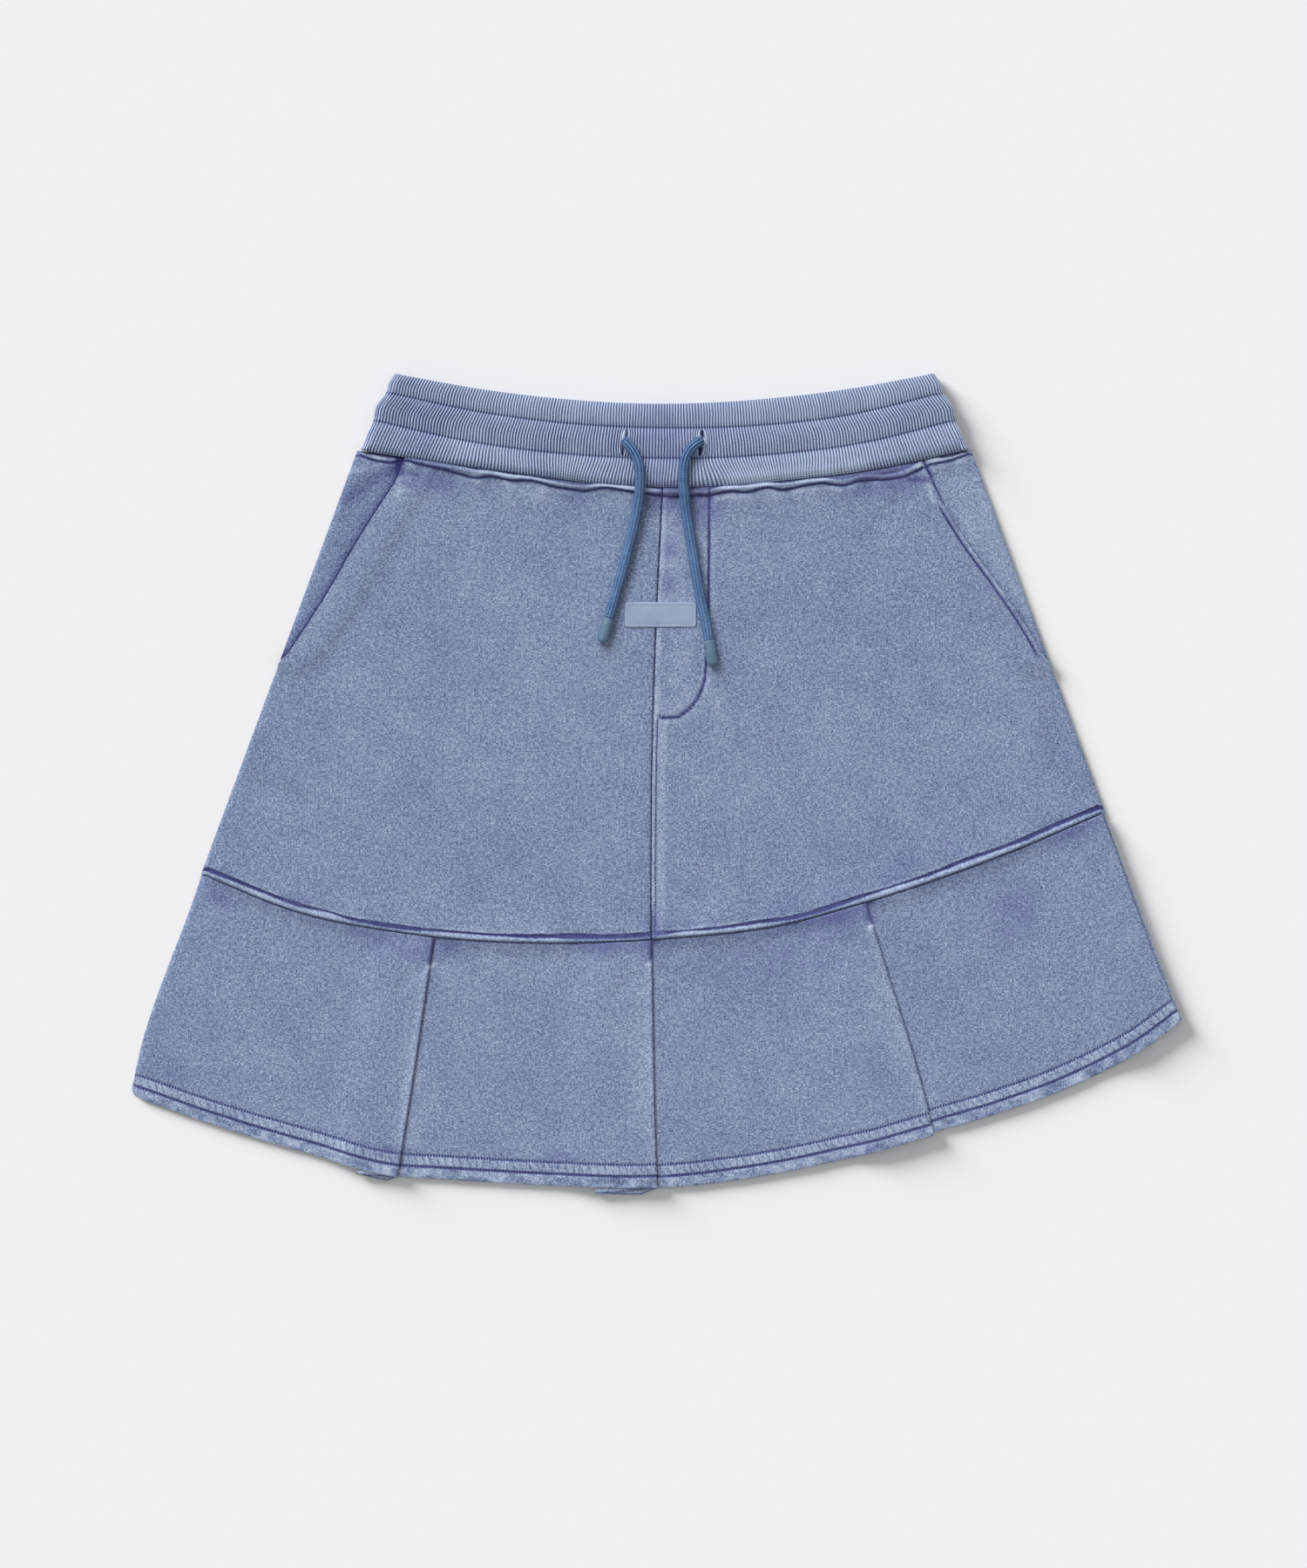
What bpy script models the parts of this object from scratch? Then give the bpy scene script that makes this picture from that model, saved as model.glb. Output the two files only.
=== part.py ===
"""A pull-on mini skirt with a ribbed drawcord waistband and a knife-pleated flounce, laid flat.

The skirt lies on its back. X runs across it, Y runs up towards the waist and Z is height over the
surface. Lengths are in millimetres until a mesh is made, and the origin is under the middle of the
skirt's outline.
"""

import math

import bpy
import numpy as np
from mathutils import Vector

MM = 0.001
# The middle of the outline, in the tables' own x and y.
CENTRE = (0.65, 0.2)

# Cloth and the layers that it lies in.
CLOTH = 1.2
GAP = 0.3
LEVEL_0 = CLOTH + GAP
LEVEL_1 = LEVEL_0 + CLOTH + GAP
LEVEL_2 = LEVEL_1 + CLOTH + GAP
ROLL = LEVEL_0 + CLOTH
SEAM_GAP = 0.3

# Waistband: a flat ribbed tube of two walls with three channels.
BAND_WALL = 3.4
BAND_SLOT = 0.8
BAND_HEIGHT = 2 * BAND_WALL + BAND_SLOT
BAND_NOSE = BAND_HEIGHT / 2
RIBS = 190
RIB_RELIEF = 0.5
PLAIN_SEGMENTS = 19
AXIS = 5.0
# station across from -1 to 1, height up of: top edge, first groove, second groove, bottom edge
BAND_LINES = (
    (-1.00, 235.3, 224.6, 208.5, 191.5),
    (-0.66, 226.0, 213.2, 196.0, 182.4),
    (-0.33, 220.2, 206.5, 189.0, 174.6),
    (0.00, 218.0, 204.0, 186.5, 170.3),
    (0.33, 220.3, 205.4, 188.3, 173.2),
    (0.66, 226.0, 211.4, 194.8, 179.6),
    (1.00, 235.4, 224.3, 208.5, 192.0),
)
# place down the band between lines 0 to 3, half width, rise of the outer face
BAND_ROWS = (
    (0.0, 154.8, -0.9),
    (0.5, 158.0, 0.6),
    (1.0, 159.6, -0.7),
    (1.5, 165.2, 0.6),
    (2.0, 167.0, -0.7),
    (2.5, 170.6, 0.6),
    (3.0, 174.0, -0.6),
)
# Eyelets: a recess in the middle channel. across, half width and depth of each
EYELETS = ((-17.8, 4.4, 2.6), (26.2, 4.4, 2.6))
EYELET_PLACE = 1.5

# Side edges of the body: half width at a height, and spread per mm down.
SIDE_AXIS = 5.0
SIDE_HALF = 181.0
SIDE_UP = 179.0
SIDE_SPREAD = 0.369

# Curved seam between body and flounce: across, up
SEAM_LINE = (
    (-261.0, -51.5),
    (-209.0, -72.5),
    (-146.0, -85.5),
    (-49.0, -91.5),
    (11.0, -88.5),
    (73.0, -81.0),
    (116.0, -69.5),
    (199.0, -41.0),
    (257.5, -16.5),
)
# Hem: across, up
HEM_LINE = (
    (-300.4, -179.2),
    (-250.0, -197.0),
    (-202.0, -211.4),
    (-148.0, -225.4),
    (-128.0, -226.6),
    (-58.0, -230.6),
    (0.0, -232.2),
    (50.0, -226.9),
    (122.0, -211.7),
    (160.0, -199.9),
    (194.0, -190.0),
    (242.0, -172.2),
    (278.0, -153.2),
    (302.2, -135.8),
)
# Centre-front seam: up, across
FRONT_SEAM = ((172.0, 4.1), (107.0, 0.8), (21.0, -2.0), (-92.0, -2.8))
# Pocket edges: up, across
POCKET_LEFT = (
    (190.0, -143.4),
    (177.5, -147.4),
    (156.0, -160.8),
    (134.5, -174.0),
    (113.0, -186.3),
    (65.0, -217.3),
)
POCKET_RIGHT = (
    (186.0, 152.6),
    (167.0, 161.5),
    (144.5, 174.8),
    (112.0, 198.0),
    (94.5, 210.0),
    (63.0, 227.8),
)
POCKET_END = 76.0
POCKET_MEETS_SIDE = 68.0
ROLL_STARTS = 70.5
ROLL_LENGTH = 12.5
FACING_END = 71.5
FACING_UNDER = 12.0
FACING_REST = 2.0
FACING_SLOPE = 14.0

# Rows and columns of the flat pieces' grids: distances from the waist and from the flounce seam,
# heights up between those, and places from the pocket edge to the centre front, out of 150.
ROWS_FROM_END = (0.0, 2.0, 4.0, 9.0, 22.0)
PANEL_ROWS = (145.0, 125.0, 105.0, 90.0, 76.0, 73.5, 71.0, 68.0, 65.0, 62.0, 58.0, 35.0, 10.0)
PANEL_COLUMNS = (0.0, 2.0, 6.0, 12.0, 20.0, 32.0, 48.0, 66.0, 84.0, 102.0, 120.0, 132.0, 138.0, 144.0, 150.0)
FACING_FIRST_ROW = 8.0
FACING_ROWS = (165.0, 145.0, 125.0, 105.0, 90.0)
FACING_COLUMNS = (0.0, 0.3, 0.65, 1.0)
BACK_ROWS = 5
# Where the search for a piece's corners starts, and about where the centre front meets the waist.
WAIST_GUESS = 188.0
SEAM_GUESS = -30.0
FRONT_AT_WAIST = 4.0

# Cloth over the seam allowances: distance from the seam, rise of the inside, added thickness
SEAM_RIDGE = ((0.0, 1.5, 0.8), (2.0, 1.5, 1.2), (4.0, 1.0, 0.3), (9.0, 0.6, 0.1), (22.0, 0.0, 0.0))
RIDGE_FADE = (3.0, 10.0)

# Knife pleats: fold at the seam, fold at the hem, bow, depth at the seam and hem, hem drop of the
# layers below and of the fold
PLEATS = (
    (-127.0, -148.3, 0.5, 16.0, 23.5, 3.2, 0.0),
    (-2.4, 1.0, -0.5, 24.0, 36.0, 3.2, -0.7),
    (120.8, 159.8, 1.5, 20.0, 30.0, 0.0, 1.6),
    (256.3, 301.9, -1.2, 14.0, 22.0, 0.0, 0.0),
)
PLEAT_RAMP = 22.0
BACK_SHORT = 1.0
FLOUNCE_ROWS = 7
FLOUNCE_SIDES = ((-261.0, -300.9, -4.2), (257.8, 302.2, 0.6))

# Label: middle, half sizes, thickness
LABEL = ((2.8, 97.2), (20.6, 7.2), 0.8)
LABEL_COLUMNS = 5

# Drawcord routes from each eyelet to the tip: across, up, height
CORD_RADIUS = 3.0
CORD_LEFT = (
    (-17.8, 196.2, 9.7),
    (-15.6, 194.0, 11.2),
    (-11.8, 188.6, 11.8),
    (-9.6, 182.0, 11.8),
    (-9.2, 175.5, 11.9),
    (-9.2, 167.5, 10.1),
    (-10.4, 158.5, 7.4),
    (-14.2, 141.0, 6.3),
    (-19.4, 121.5, 6.1),
    (-24.8, 102.5, 6.1),
    (-26.9, 95.4, 6.3),
)
CORD_RIGHT = (
    (25.9, 196.4, 9.7),
    (22.6, 194.4, 11.3),
    (18.2, 189.2, 11.8),
    (16.2, 183.0, 11.8),
    (15.6, 175.0, 11.9),
    (16.2, 166.5, 10.1),
    (17.2, 157.5, 7.5),
    (20.0, 140.5, 6.3),
    (23.0, 121.5, 6.1),
    (26.1, 104.5, 6.1),
    (29.2, 90.5, 6.2),
    (30.5, 82.6, 6.3),
)
CORD_STEP = 6.0
TIP_RADIUS = 3.4
TIP_LENGTH = 14.5
TIP_SIDES = 12
# share of the tip's length, share of its radius
TIP_PROFILE = ((0.0, 0.72), (0.08, 1.0), (0.85, 1.0), (0.96, 0.8), (1.0, 0.4))


def smooth(t):
    """0 below 0, 1 above 1 and a soft step between them."""
    t = np.clip(t, 0.0, 1.0)
    return t * t * (3.0 - 2.0 * t)


def mix(a, b, t):
    return a + (b - a) * t


def through(rows):
    """A smooth function through rows of (place, value), straight on past its ends."""
    x, y = np.array(sorted(rows), float).T
    slope = np.gradient(y, x)

    def value(at):
        at = np.asarray(at, float)
        i = np.clip(np.searchsorted(x, at) - 1, 0, len(x) - 2)
        width = x[i + 1] - x[i]
        t = (at - x[i]) / width
        u = np.clip(t, 0.0, 1.0)
        first = (1 + 2 * u) * (1 - u) ** 2 * y[i] + u * (1 - u) ** 2 * width * slope[i]
        second = u * u * (3 - 2 * u) * y[i + 1] - u * u * (1 - u) * width * slope[i + 1]
        beyond = (t - u) * width * np.where(t > 1, slope[i + 1], slope[i])
        return first + second + beyond

    return value


band_stations = [row[0] for row in BAND_LINES]
band_curves = [through(zip(band_stations, column)) for column in zip(*[row[1:] for row in BAND_LINES])]
BAND_BOTTOM_HALF = BAND_ROWS[-1][1]
seam = through(SEAM_LINE)
hem = through(HEM_LINE)
front_seam = through(FRONT_SEAM)
pocket_left = through(POCKET_LEFT)
pocket_right = through(POCKET_RIGHT)


def band_up(station, place):
    """Height up the skirt of a line of the waistband, at a station across it."""
    first = min(int(place), len(band_curves) - 2)
    return mix(band_curves[first](station), band_curves[first + 1](station), place - first)


def waist(x):
    """Height up the skirt of the waistband's bottom edge."""
    return band_curves[-1]((x - AXIS) / BAND_BOTTOM_HALF)


def side(y, hand):
    """Silhouette of the body at a height; hand is -1 at the left and 1 at the right."""
    return SIDE_AXIS + hand * (SIDE_HALF + SIDE_SPREAD * (SIDE_UP - y))


def meeting(line, edge, guess):
    """Height up at which an edge, given across at a height, meets a line, given up at a place across."""
    y = guess
    for _ in range(12):
        y = float(line(edge(y)))
    return y


def body_top(x):
    return waist(x) - SEAM_GAP


def body_bottom(x):
    return seam(x) + SEAM_GAP / 2


def flounce_top(x):
    return seam(x) - SEAM_GAP / 2


def back_hem(x):
    return hem(x) + BACK_SHORT


def fall_off(distance, column):
    """A column of SEAM_RIDGE at a distance from the seam."""
    rows = np.array(SEAM_RIDGE)
    return np.interp(distance, rows[:, 0], rows[:, column])


def material(name, colour, roughness):
    m = bpy.data.materials.new(name)
    m.use_nodes = True
    shader = m.node_tree.nodes["Principled BSDF"]
    shader.inputs["Base Color"].default_value = (*colour, 1.0)
    shader.inputs["Roughness"].default_value = roughness
    shader.inputs["Metallic"].default_value = 0.0
    return m


def add_mesh(name, points, faces, look):
    """A mesh object from points in millimetres, moved so that the outline is centred."""
    offset = np.array((*CENTRE, 0.0))
    mesh = bpy.data.meshes.new(name)
    mesh.from_pydata(((np.array(points, float) - offset) * MM).tolist(), [], faces)
    mesh.materials.append(look)
    mesh.validate()
    mesh.shade_smooth()
    mesh.set_sharp_from_angle(angle=math.radians(40))
    obj = bpy.data.objects.new(name, mesh)
    bpy.context.collection.objects.link(obj)
    return obj


def shell(name, outer, inner, look):
    """A closed wall between two grids of points, rows going down the skirt and columns across."""
    outer, inner = np.asarray(outer, float), np.asarray(inner, float)
    rows, columns = outer.shape[:2]
    index = np.arange(rows * columns).reshape(rows, columns)
    under = index + rows * columns
    faces = []
    for r in range(rows - 1):
        for c in range(columns - 1):
            faces.append((index[r, c], index[r + 1, c], index[r + 1, c + 1], index[r, c + 1]))
            faces.append((under[r, c + 1], under[r + 1, c + 1], under[r + 1, c], under[r, c]))
    for c in range(columns - 1):
        faces.append((index[0, c], index[0, c + 1], under[0, c + 1], under[0, c]))
        faces.append((index[-1, c + 1], index[-1, c], under[-1, c], under[-1, c + 1]))
    for r in range(rows - 1):
        faces.append((index[r + 1, 0], index[r, 0], under[r, 0], under[r + 1, 0]))
        faces.append((index[r, -1], index[r + 1, -1], under[r + 1, -1], under[r, -1]))
    points = np.concatenate([outer.reshape(-1, 3), inner.reshape(-1, 3)])
    return add_mesh(name, points, [tuple(int(i) for i in f) for f in faces], look)


def patch(top, bottom, left, right, s, t):
    """Points in plan spread between four edges: s runs across and t runs down."""
    s, t = s[None, :, None], t[:, None, None]
    corners = (1 - s) * (1 - t) * top[0] + s * (1 - t) * top[-1]
    corners = corners + (1 - s) * t * bottom[0] + s * t * bottom[-1]
    along = (1 - t) * top[None] + t * bottom[None]
    down = (1 - s) * left[:, None] + s * right[:, None]
    return along + down - corners


def rolled_edge():
    """Outer and inner points of the wall rolling down to the surface, as (inwards, height)."""
    angles = np.radians((0, 30, 60))
    return [
        [(ROLL - r * math.cos(a), r * math.sin(a)) for a in angles] for r in (ROLL, LEVEL_0)
    ]


def turned_edge(base):
    """Outer and inner points of a free edge that lies at a level, as (inwards, height)."""
    outer = [(0.05, base + 0.35), (0.0, base + 0.8), (0.35, base + 1.1)]
    inner = [(0.3, base), (0.6, base), (0.9, base)]
    return [outer, inner]


def front_panel(name, hand, look):
    """A front panel; hand is -1 for the panel at the left and 1 for the one at the right."""
    pocket = pocket_left if hand < 0 else pocket_right
    top_up = meeting(body_top, lambda y: pocket(y) - hand * CLOTH, WAIST_GUESS)
    seam_up = meeting(body_bottom, lambda y: side(y, hand) - hand * ROLL, SEAM_GUESS)
    from_end = np.array(ROWS_FROM_END)
    up = np.concatenate([top_up - from_end, PANEL_ROWS, seam_up + from_end[::-1]])
    run_out = smooth((ROLL_STARTS - up) / ROLL_LENGTH)
    meets = smooth((POCKET_END - up) / (POCKET_END - POCKET_MEETS_SIDE))
    edge = mix(pocket(np.maximum(up, POCKET_MEETS_SIDE)), side(up, hand), meets)
    inward = mix(CLOTH, ROLL, run_out)
    down = (up[0] - up) / (up[0] - up[-1])
    across = np.array(PANEL_COLUMNS) / PANEL_COLUMNS[-1]

    start = edge - hand * inward
    left = np.stack([start, up], axis=1)
    middle = front_seam(up[-1])
    top_x = mix(start[0], front_seam(waist(FRONT_AT_WAIST)) + hand * SEAM_GAP / 2, across)
    bottom_x = mix(start[-1], middle + hand * SEAM_GAP / 2, across)
    top = np.stack([top_x, body_top(top_x)], axis=1)
    bottom = np.stack([bottom_x, body_bottom(bottom_x)], axis=1)
    right_up = mix(top[-1, 1], bottom[-1, 1], down)
    right = np.stack([front_seam(right_up) + hand * SEAM_GAP / 2, right_up], axis=1)
    right[0], right[-1] = top[-1], bottom[-1]
    plan = patch(top, bottom, left, right, across, down)
    x, y = plan[..., 0], plan[..., 1]

    from_edge = np.abs(x - edge[:, None])
    beyond = from_edge - FACING_UNDER - FACING_REST
    over_facing = 1 - smooth(beyond / FACING_SLOPE)
    over_facing = over_facing * (1 - smooth((ROLL_STARTS - y) / ROLL_LENGTH))
    length = (waist(x[0]) - seam(x[-1]))[None, :]
    from_seam = np.minimum(down[:, None], 1 - down[:, None]) * length
    fade = smooth((from_edge - RIDGE_FADE[0]) / (RIDGE_FADE[1] - RIDGE_FADE[0]))
    base = LEVEL_0 + np.maximum((LEVEL_1 - LEVEL_0) * over_facing, fall_off(from_seam, 1) * fade)
    height = base + CLOTH + fall_off(from_seam, 2) * fade
    outer = np.dstack([x, y, height])
    inner = np.dstack([x, y, base])

    rolled = rolled_edge()
    edges = []
    for k in range(2):
        columns = []
        for i in range(3):
            turned = [turned_edge(b)[k][i] for b in base[:, 0]]
            depth = mix(np.array([p[0] for p in turned]), rolled[k][i][0], run_out)
            high = mix(np.array([p[1] for p in turned]), rolled[k][i][1], run_out)
            columns.append(np.stack([edge - hand * depth, left[:, 1], high], axis=1))
        edges.append(np.stack(columns, axis=1))
    outer = np.concatenate([edges[0], outer], axis=1)
    inner = np.concatenate([edges[1], inner], axis=1)
    if hand > 0:
        outer, inner = outer[:, ::-1], inner[:, ::-1]
    return shell(name, outer, inner, look)


def pocket_facing(name, hand, look):
    """The hip piece that shows between the pocket edge and the side, and ends under the front."""
    pocket = pocket_left if hand < 0 else pocket_right
    top_up = meeting(body_top, lambda y: side(y, hand) - hand * ROLL, WAIST_GUESS)
    up = np.array([top_up, top_up - FACING_FIRST_ROW, *FACING_ROWS, FACING_END])
    edge = side(up, hand)
    start = edge - hand * ROLL
    finish = pocket(up) - hand * FACING_UNDER
    across = np.array(FACING_COLUMNS)
    x = mix(start[:, None], finish[:, None], across[None, :])
    y = np.repeat(up[:, None], len(across), axis=1)
    y[0] = body_top(x[0])
    y[1] = y[0] - FACING_FIRST_ROW
    outer = np.dstack([x, y, np.full(x.shape, LEVEL_0 + CLOTH)])
    inner = np.dstack([x, y, np.full(x.shape, LEVEL_0)])
    edges = []
    for profile in rolled_edge():
        columns = [np.stack([edge - hand * p[0], y[:, 0], np.full(len(up), p[1])], axis=1) for p in profile]
        edges.append(np.stack(columns, axis=1))
    outer = np.concatenate([edges[0], outer], axis=1)
    inner = np.concatenate([edges[1], inner], axis=1)
    if hand > 0:
        outer, inner = outer[:, ::-1], inner[:, ::-1]
    return shell(name, outer, inner, look)


def slab(name, left, right, top, bottom, down, look):
    """A flat back piece with rounded side edges that lie inside the front's rolled ones.

    left and right give the silhouette, across and up, at a share of the way down. top and bottom
    give the height up of the ends at a place across. down holds the shares of the rows.
    """
    angles = np.radians((12, 35, 60))
    upper = [(ROLL - CLOTH * math.cos(a), CLOTH * math.sin(a)) for a in angles]
    under = [(LEVEL_0 + 0.08, 0.0), (LEVEL_0 + 0.4, 0.0), (LEVEL_0 + 0.8, 0.0)]
    across = np.linspace(0.0, 1.0, PLAIN_SEGMENTS + 1)
    (left_x, left_y), (right_x, right_y) = left(down), right(down)
    top_x = mix(left_x[0] + ROLL, right_x[0] - ROLL, across)
    bottom_x = mix(left_x[-1] + ROLL, right_x[-1] - ROLL, across)
    plan = patch(
        np.stack([top_x, top(top_x)], axis=1),
        np.stack([bottom_x, bottom(bottom_x)], axis=1),
        np.stack([left_x + ROLL, left_y], axis=1),
        np.stack([right_x - ROLL, right_y], axis=1),
        across,
        down,
    )
    grids = []
    for profile, height in ((upper, CLOTH), (under, 0.0)):
        flat = np.dstack([plan, np.full(plan.shape[:2], height)])
        start = [np.stack([left_x + d, left_y, np.full(len(down), h)], axis=1) for d, h in profile]
        finish = [np.stack([right_x - d, right_y, np.full(len(down), h)], axis=1) for d, h in profile[::-1]]
        grids.append(np.concatenate([np.stack(start, axis=1), flat, np.stack(finish, axis=1)], axis=1))
    return shell(name, *grids, look)


def body_side(hand):
    """The body's silhouette on one side, at a share of the way down."""
    first = meeting(body_top, lambda y: side(y, hand) - hand * ROLL, WAIST_GUESS)
    last = meeting(body_bottom, lambda y: side(y, hand) - hand * ROLL, SEAM_GUESS)

    def at(down):
        y = mix(first, last, down)
        return side(y, hand), y

    return at


def bowed(down):
    """How much of a line's bow it has at a share of the way down: all of it two thirds down."""
    return 6.75 * down * down * (1 - down)


def flounce_side(hand):
    """The flounce's silhouette on one side, at a share of the way down."""
    at_seam, at_hem, bow = FLOUNCE_SIDES[0 if hand < 0 else 1]
    first, last = flounce_top(at_seam - hand * ROLL), hem(at_hem - hand * ROLL)

    def at(down):
        y = mix(first, last + BACK_SHORT, down)
        share = (first - y) / (first - last)
        return mix(at_seam, at_hem, share) + bow * bowed(share), y

    return at


def flounce_stations():
    """The folded strip's middle line from left to right.

    A station is (x at the seam, x at the hem, bow, height, normal x, normal z, hem drop, shift).
    """
    low, mid, high = (level + CLOTH / 2 for level in (LEVEL_0, LEVEL_1, LEVEL_2))
    bend = (CLOTH + GAP) / 2
    turn = bend + CLOTH / 2
    middle_roll = ROLL - CLOTH / 2
    seam_x, hem_x, bow = FLOUNCE_SIDES[0]
    stations = []
    for angle in np.radians((0, 30, 60)):
        normal = (-math.cos(angle), math.sin(angle))
        high_up = middle_roll * math.sin(angle)
        shift = -middle_roll * math.cos(angle)
        stations.append((seam_x + ROLL, hem_x + ROLL, bow, high_up, *normal, 0.0, shift))
    last = (seam_x + ROLL, hem_x + ROLL, bow)
    for fold_seam, fold_hem, fold_bow, deep_seam, deep_hem, drop, fold_drop in PLEATS:
        back = (fold_seam - deep_seam, fold_hem - deep_hem, fold_bow)
        ramp_end = (back[0] - 1.5, back[1] - 1.5, fold_bow)
        ramp = (ramp_end[0] - PLEAT_RAMP, ramp_end[1] - PLEAT_RAMP, fold_bow)
        crest = (fold_seam - turn, fold_hem - turn, fold_bow)
        for t in np.linspace(0, 1, 6):
            place = [mix(p, q, t) for p, q in zip(last, ramp)]
            stations.append((*place, low, 0.0, 1.0, 0.0, 0.0))
        for t in (0.3, 0.5, 0.7, 1.0):
            place = [mix(p, q, t) for p, q in zip(ramp, ramp_end)]
            stations.append((*place, mix(low, high, smooth(t)), 0.0, 1.0, fold_drop * t / 2, 0.0))
        half_way = [mix(p, q, 0.5) for p, q in zip(ramp_end, crest)]
        stations.append((*half_way, high, 0.0, 1.0, fold_drop * 0.75, 0.0))
        for angle in np.radians((90, 45, 0, -45, -90)):
            normal = (math.cos(angle), math.sin(angle))
            high_up = (high + mid) / 2 + bend * math.sin(angle)
            stations.append((*crest, high_up, *normal, fold_drop, bend * math.cos(angle)))
        inner_fold = (back[0] + turn, back[1] + turn, fold_bow)
        half_way = [mix(p, q, 0.5) for p, q in zip(crest, inner_fold)]
        stations.append((*half_way, mid, 0.0, -1.0, drop / 2, 0.0))
        for angle in np.radians((90, 135, 180, 225, 270)):
            normal = (-math.cos(angle), -math.sin(angle))
            high_up = (mid + low) / 2 + bend * math.sin(angle)
            stations.append((*inner_fold, high_up, *normal, drop, bend * math.cos(angle)))
        if drop:
            near_fold = (fold_seam - 3.0, fold_hem - 3.0, fold_bow)
            stations.append((*near_fold, low, 0.0, 1.0, drop * 0.7, 0.0))
        last = (fold_seam + 1.0, fold_hem + 1.0, fold_bow)
    seam_x, hem_x, bow = FLOUNCE_SIDES[1]
    last = (seam_x - ROLL, hem_x - ROLL, bow)
    stations.append((*last, low, 0.0, 1.0, 0.0, 0.0))
    for angle in np.radians((60, 30, 0)):
        normal = (math.cos(angle), math.sin(angle))
        high_up = middle_roll * math.sin(angle)
        shift = middle_roll * math.cos(angle)
        stations.append((*last, high_up, *normal, 0.0, shift))
    return stations


def flounce_front(look):
    """One strip of cloth in three front knife pleats and a side pleat."""
    down = np.linspace(0.0, 1.0, FLOUNCE_ROWS)
    outer, inner = [], []
    stations = flounce_stations()
    for i, (seam_x, hem_x, bow, up, normal_x, normal_z, drop, shift) in enumerate(stations):
        rolled = i < 3 or i >= len(stations) - 3
        for side_points, half in ((outer, CLOTH / 2), (inner, -CLOTH / 2)):
            out = shift + half * normal_x
            x = mix(seam_x, hem_x, down) + bow * bowed(down) + out
            level = 0.0 if rolled else out
            y = mix(flounce_top(seam_x + level), hem(hem_x + level) - drop, down)
            height = np.full(len(down), up + half * normal_z)
            side_points.append(np.stack([x, y, height], axis=1))
    return shell("flounce_front", np.stack(outer, axis=1), np.stack(inner, axis=1), look)


def waistband(look):
    """A flat ribbed tube: fine ribs on the upper face, plain elsewhere, closed at both rims."""
    fine = 2 * RIBS
    per_segment = fine // PLAIN_SEGMENTS
    points = []
    fronts, noses_left, noses_right = [], [], []
    backs, inner_fronts, inner_backs = [], [], []

    def add(x, y, z):
        points.append((float(x), float(y), float(z)))
        return len(points) - 1

    def station_up(x, half, place):
        return float(band_up((x - AXIS) / half, place))

    nose_angles = np.radians((45, 0, -45))
    for place, half, rise in BAND_ROWS:
        flat = half - BAND_NOSE
        row = []
        for i in range(fine + 1):
            x = AXIS + mix(-flat, flat, i / fine)
            y = station_up(x, half, place)
            relief = RIB_RELIEF / 2 * (1 if i % 2 else -1)
            z = BAND_HEIGHT + rise + relief
            for eye_x, eye_half, eye_depth in EYELETS:
                if place == EYELET_PLACE and abs(x - eye_x) < eye_half:
                    z -= eye_depth
            row.append(add(x, y, z))
        fronts.append(row)
        for hand, noses in ((-1, noses_left), (1, noses_right)):
            column = []
            for angle in nose_angles:
                x = AXIS + hand * (flat + BAND_NOSE * math.cos(angle))
                z = BAND_NOSE + (BAND_NOSE + max(rise, 0.0) * (angle > 0)) * math.sin(angle)
                column.append(add(x, station_up(AXIS + hand * half, half, place), z))
            noses.append(column)
        for store, z in ((backs, 0.0), (inner_fronts, BAND_WALL + BAND_SLOT), (inner_backs, BAND_WALL)):
            row = []
            for i in range(PLAIN_SEGMENTS + 1):
                x = AXIS + mix(-flat, flat, i / PLAIN_SEGMENTS)
                row.append(add(x, station_up(x, half, place), z))
            store.append(row)

    faces = []

    def strip(rows, flip):
        """Quads over a grid of indices that face up, or down when flipped."""
        for upper, lower in zip(rows, rows[1:]):
            for i in range(len(upper) - 1):
                quad = (upper[i], lower[i], lower[i + 1], upper[i + 1])
                faces.append(quad[::-1] if flip else quad)

    strip(fronts, False)
    strip([[b[0], *n[::-1], f[0]] for b, n, f in zip(backs, noses_left, fronts)], False)
    strip([[f[-1], *n, b[-1]] for b, n, f in zip(backs, noses_right, fronts)], False)
    strip(backs, True)
    strip(inner_fronts, True)
    strip(inner_backs, False)
    strip([[f[0], b[0]] for f, b in zip(inner_fronts, inner_backs)], False)
    strip([[b[-1], f[-1]] for f, b in zip(inner_fronts, inner_backs)], False)
    for row, flip in ((0, False), (-1, True)):
        for k in range(PLAIN_SEGMENTS):
            ribs = fronts[row][k * per_segment : (k + 1) * per_segment + 1]
            face = (*ribs, inner_fronts[row][k + 1], inner_fronts[row][k])
            faces.append(face[::-1] if flip else face)
            face = (inner_backs[row][k], inner_backs[row][k + 1], backs[row][k + 1], backs[row][k])
            faces.append(face[::-1] if flip else face)
        left = (backs[row][0], *noses_left[row][::-1], fronts[row][0], inner_fronts[row][0], inner_backs[row][0])
        right = (fronts[row][-1], *noses_right[row], backs[row][-1], inner_backs[row][-1], inner_fronts[row][-1])
        for face in (left, right):
            faces.append(face[::-1] if flip else face)
    return add_mesh("waistband", points, faces, look)


def label(look):
    """The bare patch, flat on the two front panels."""
    (middle_x, middle_y), (half_x, half_y), thick = LABEL
    across = np.linspace(middle_x - half_x, middle_x + half_x, LABEL_COLUMNS)
    x, y = np.meshgrid(across, (middle_y + half_y, middle_y - half_y))
    rest = np.full(x.shape, LEVEL_0 + CLOTH + GAP)
    return shell("label", np.dstack([x, y, rest + thick]), np.dstack([x, y, rest]), look)


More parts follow.
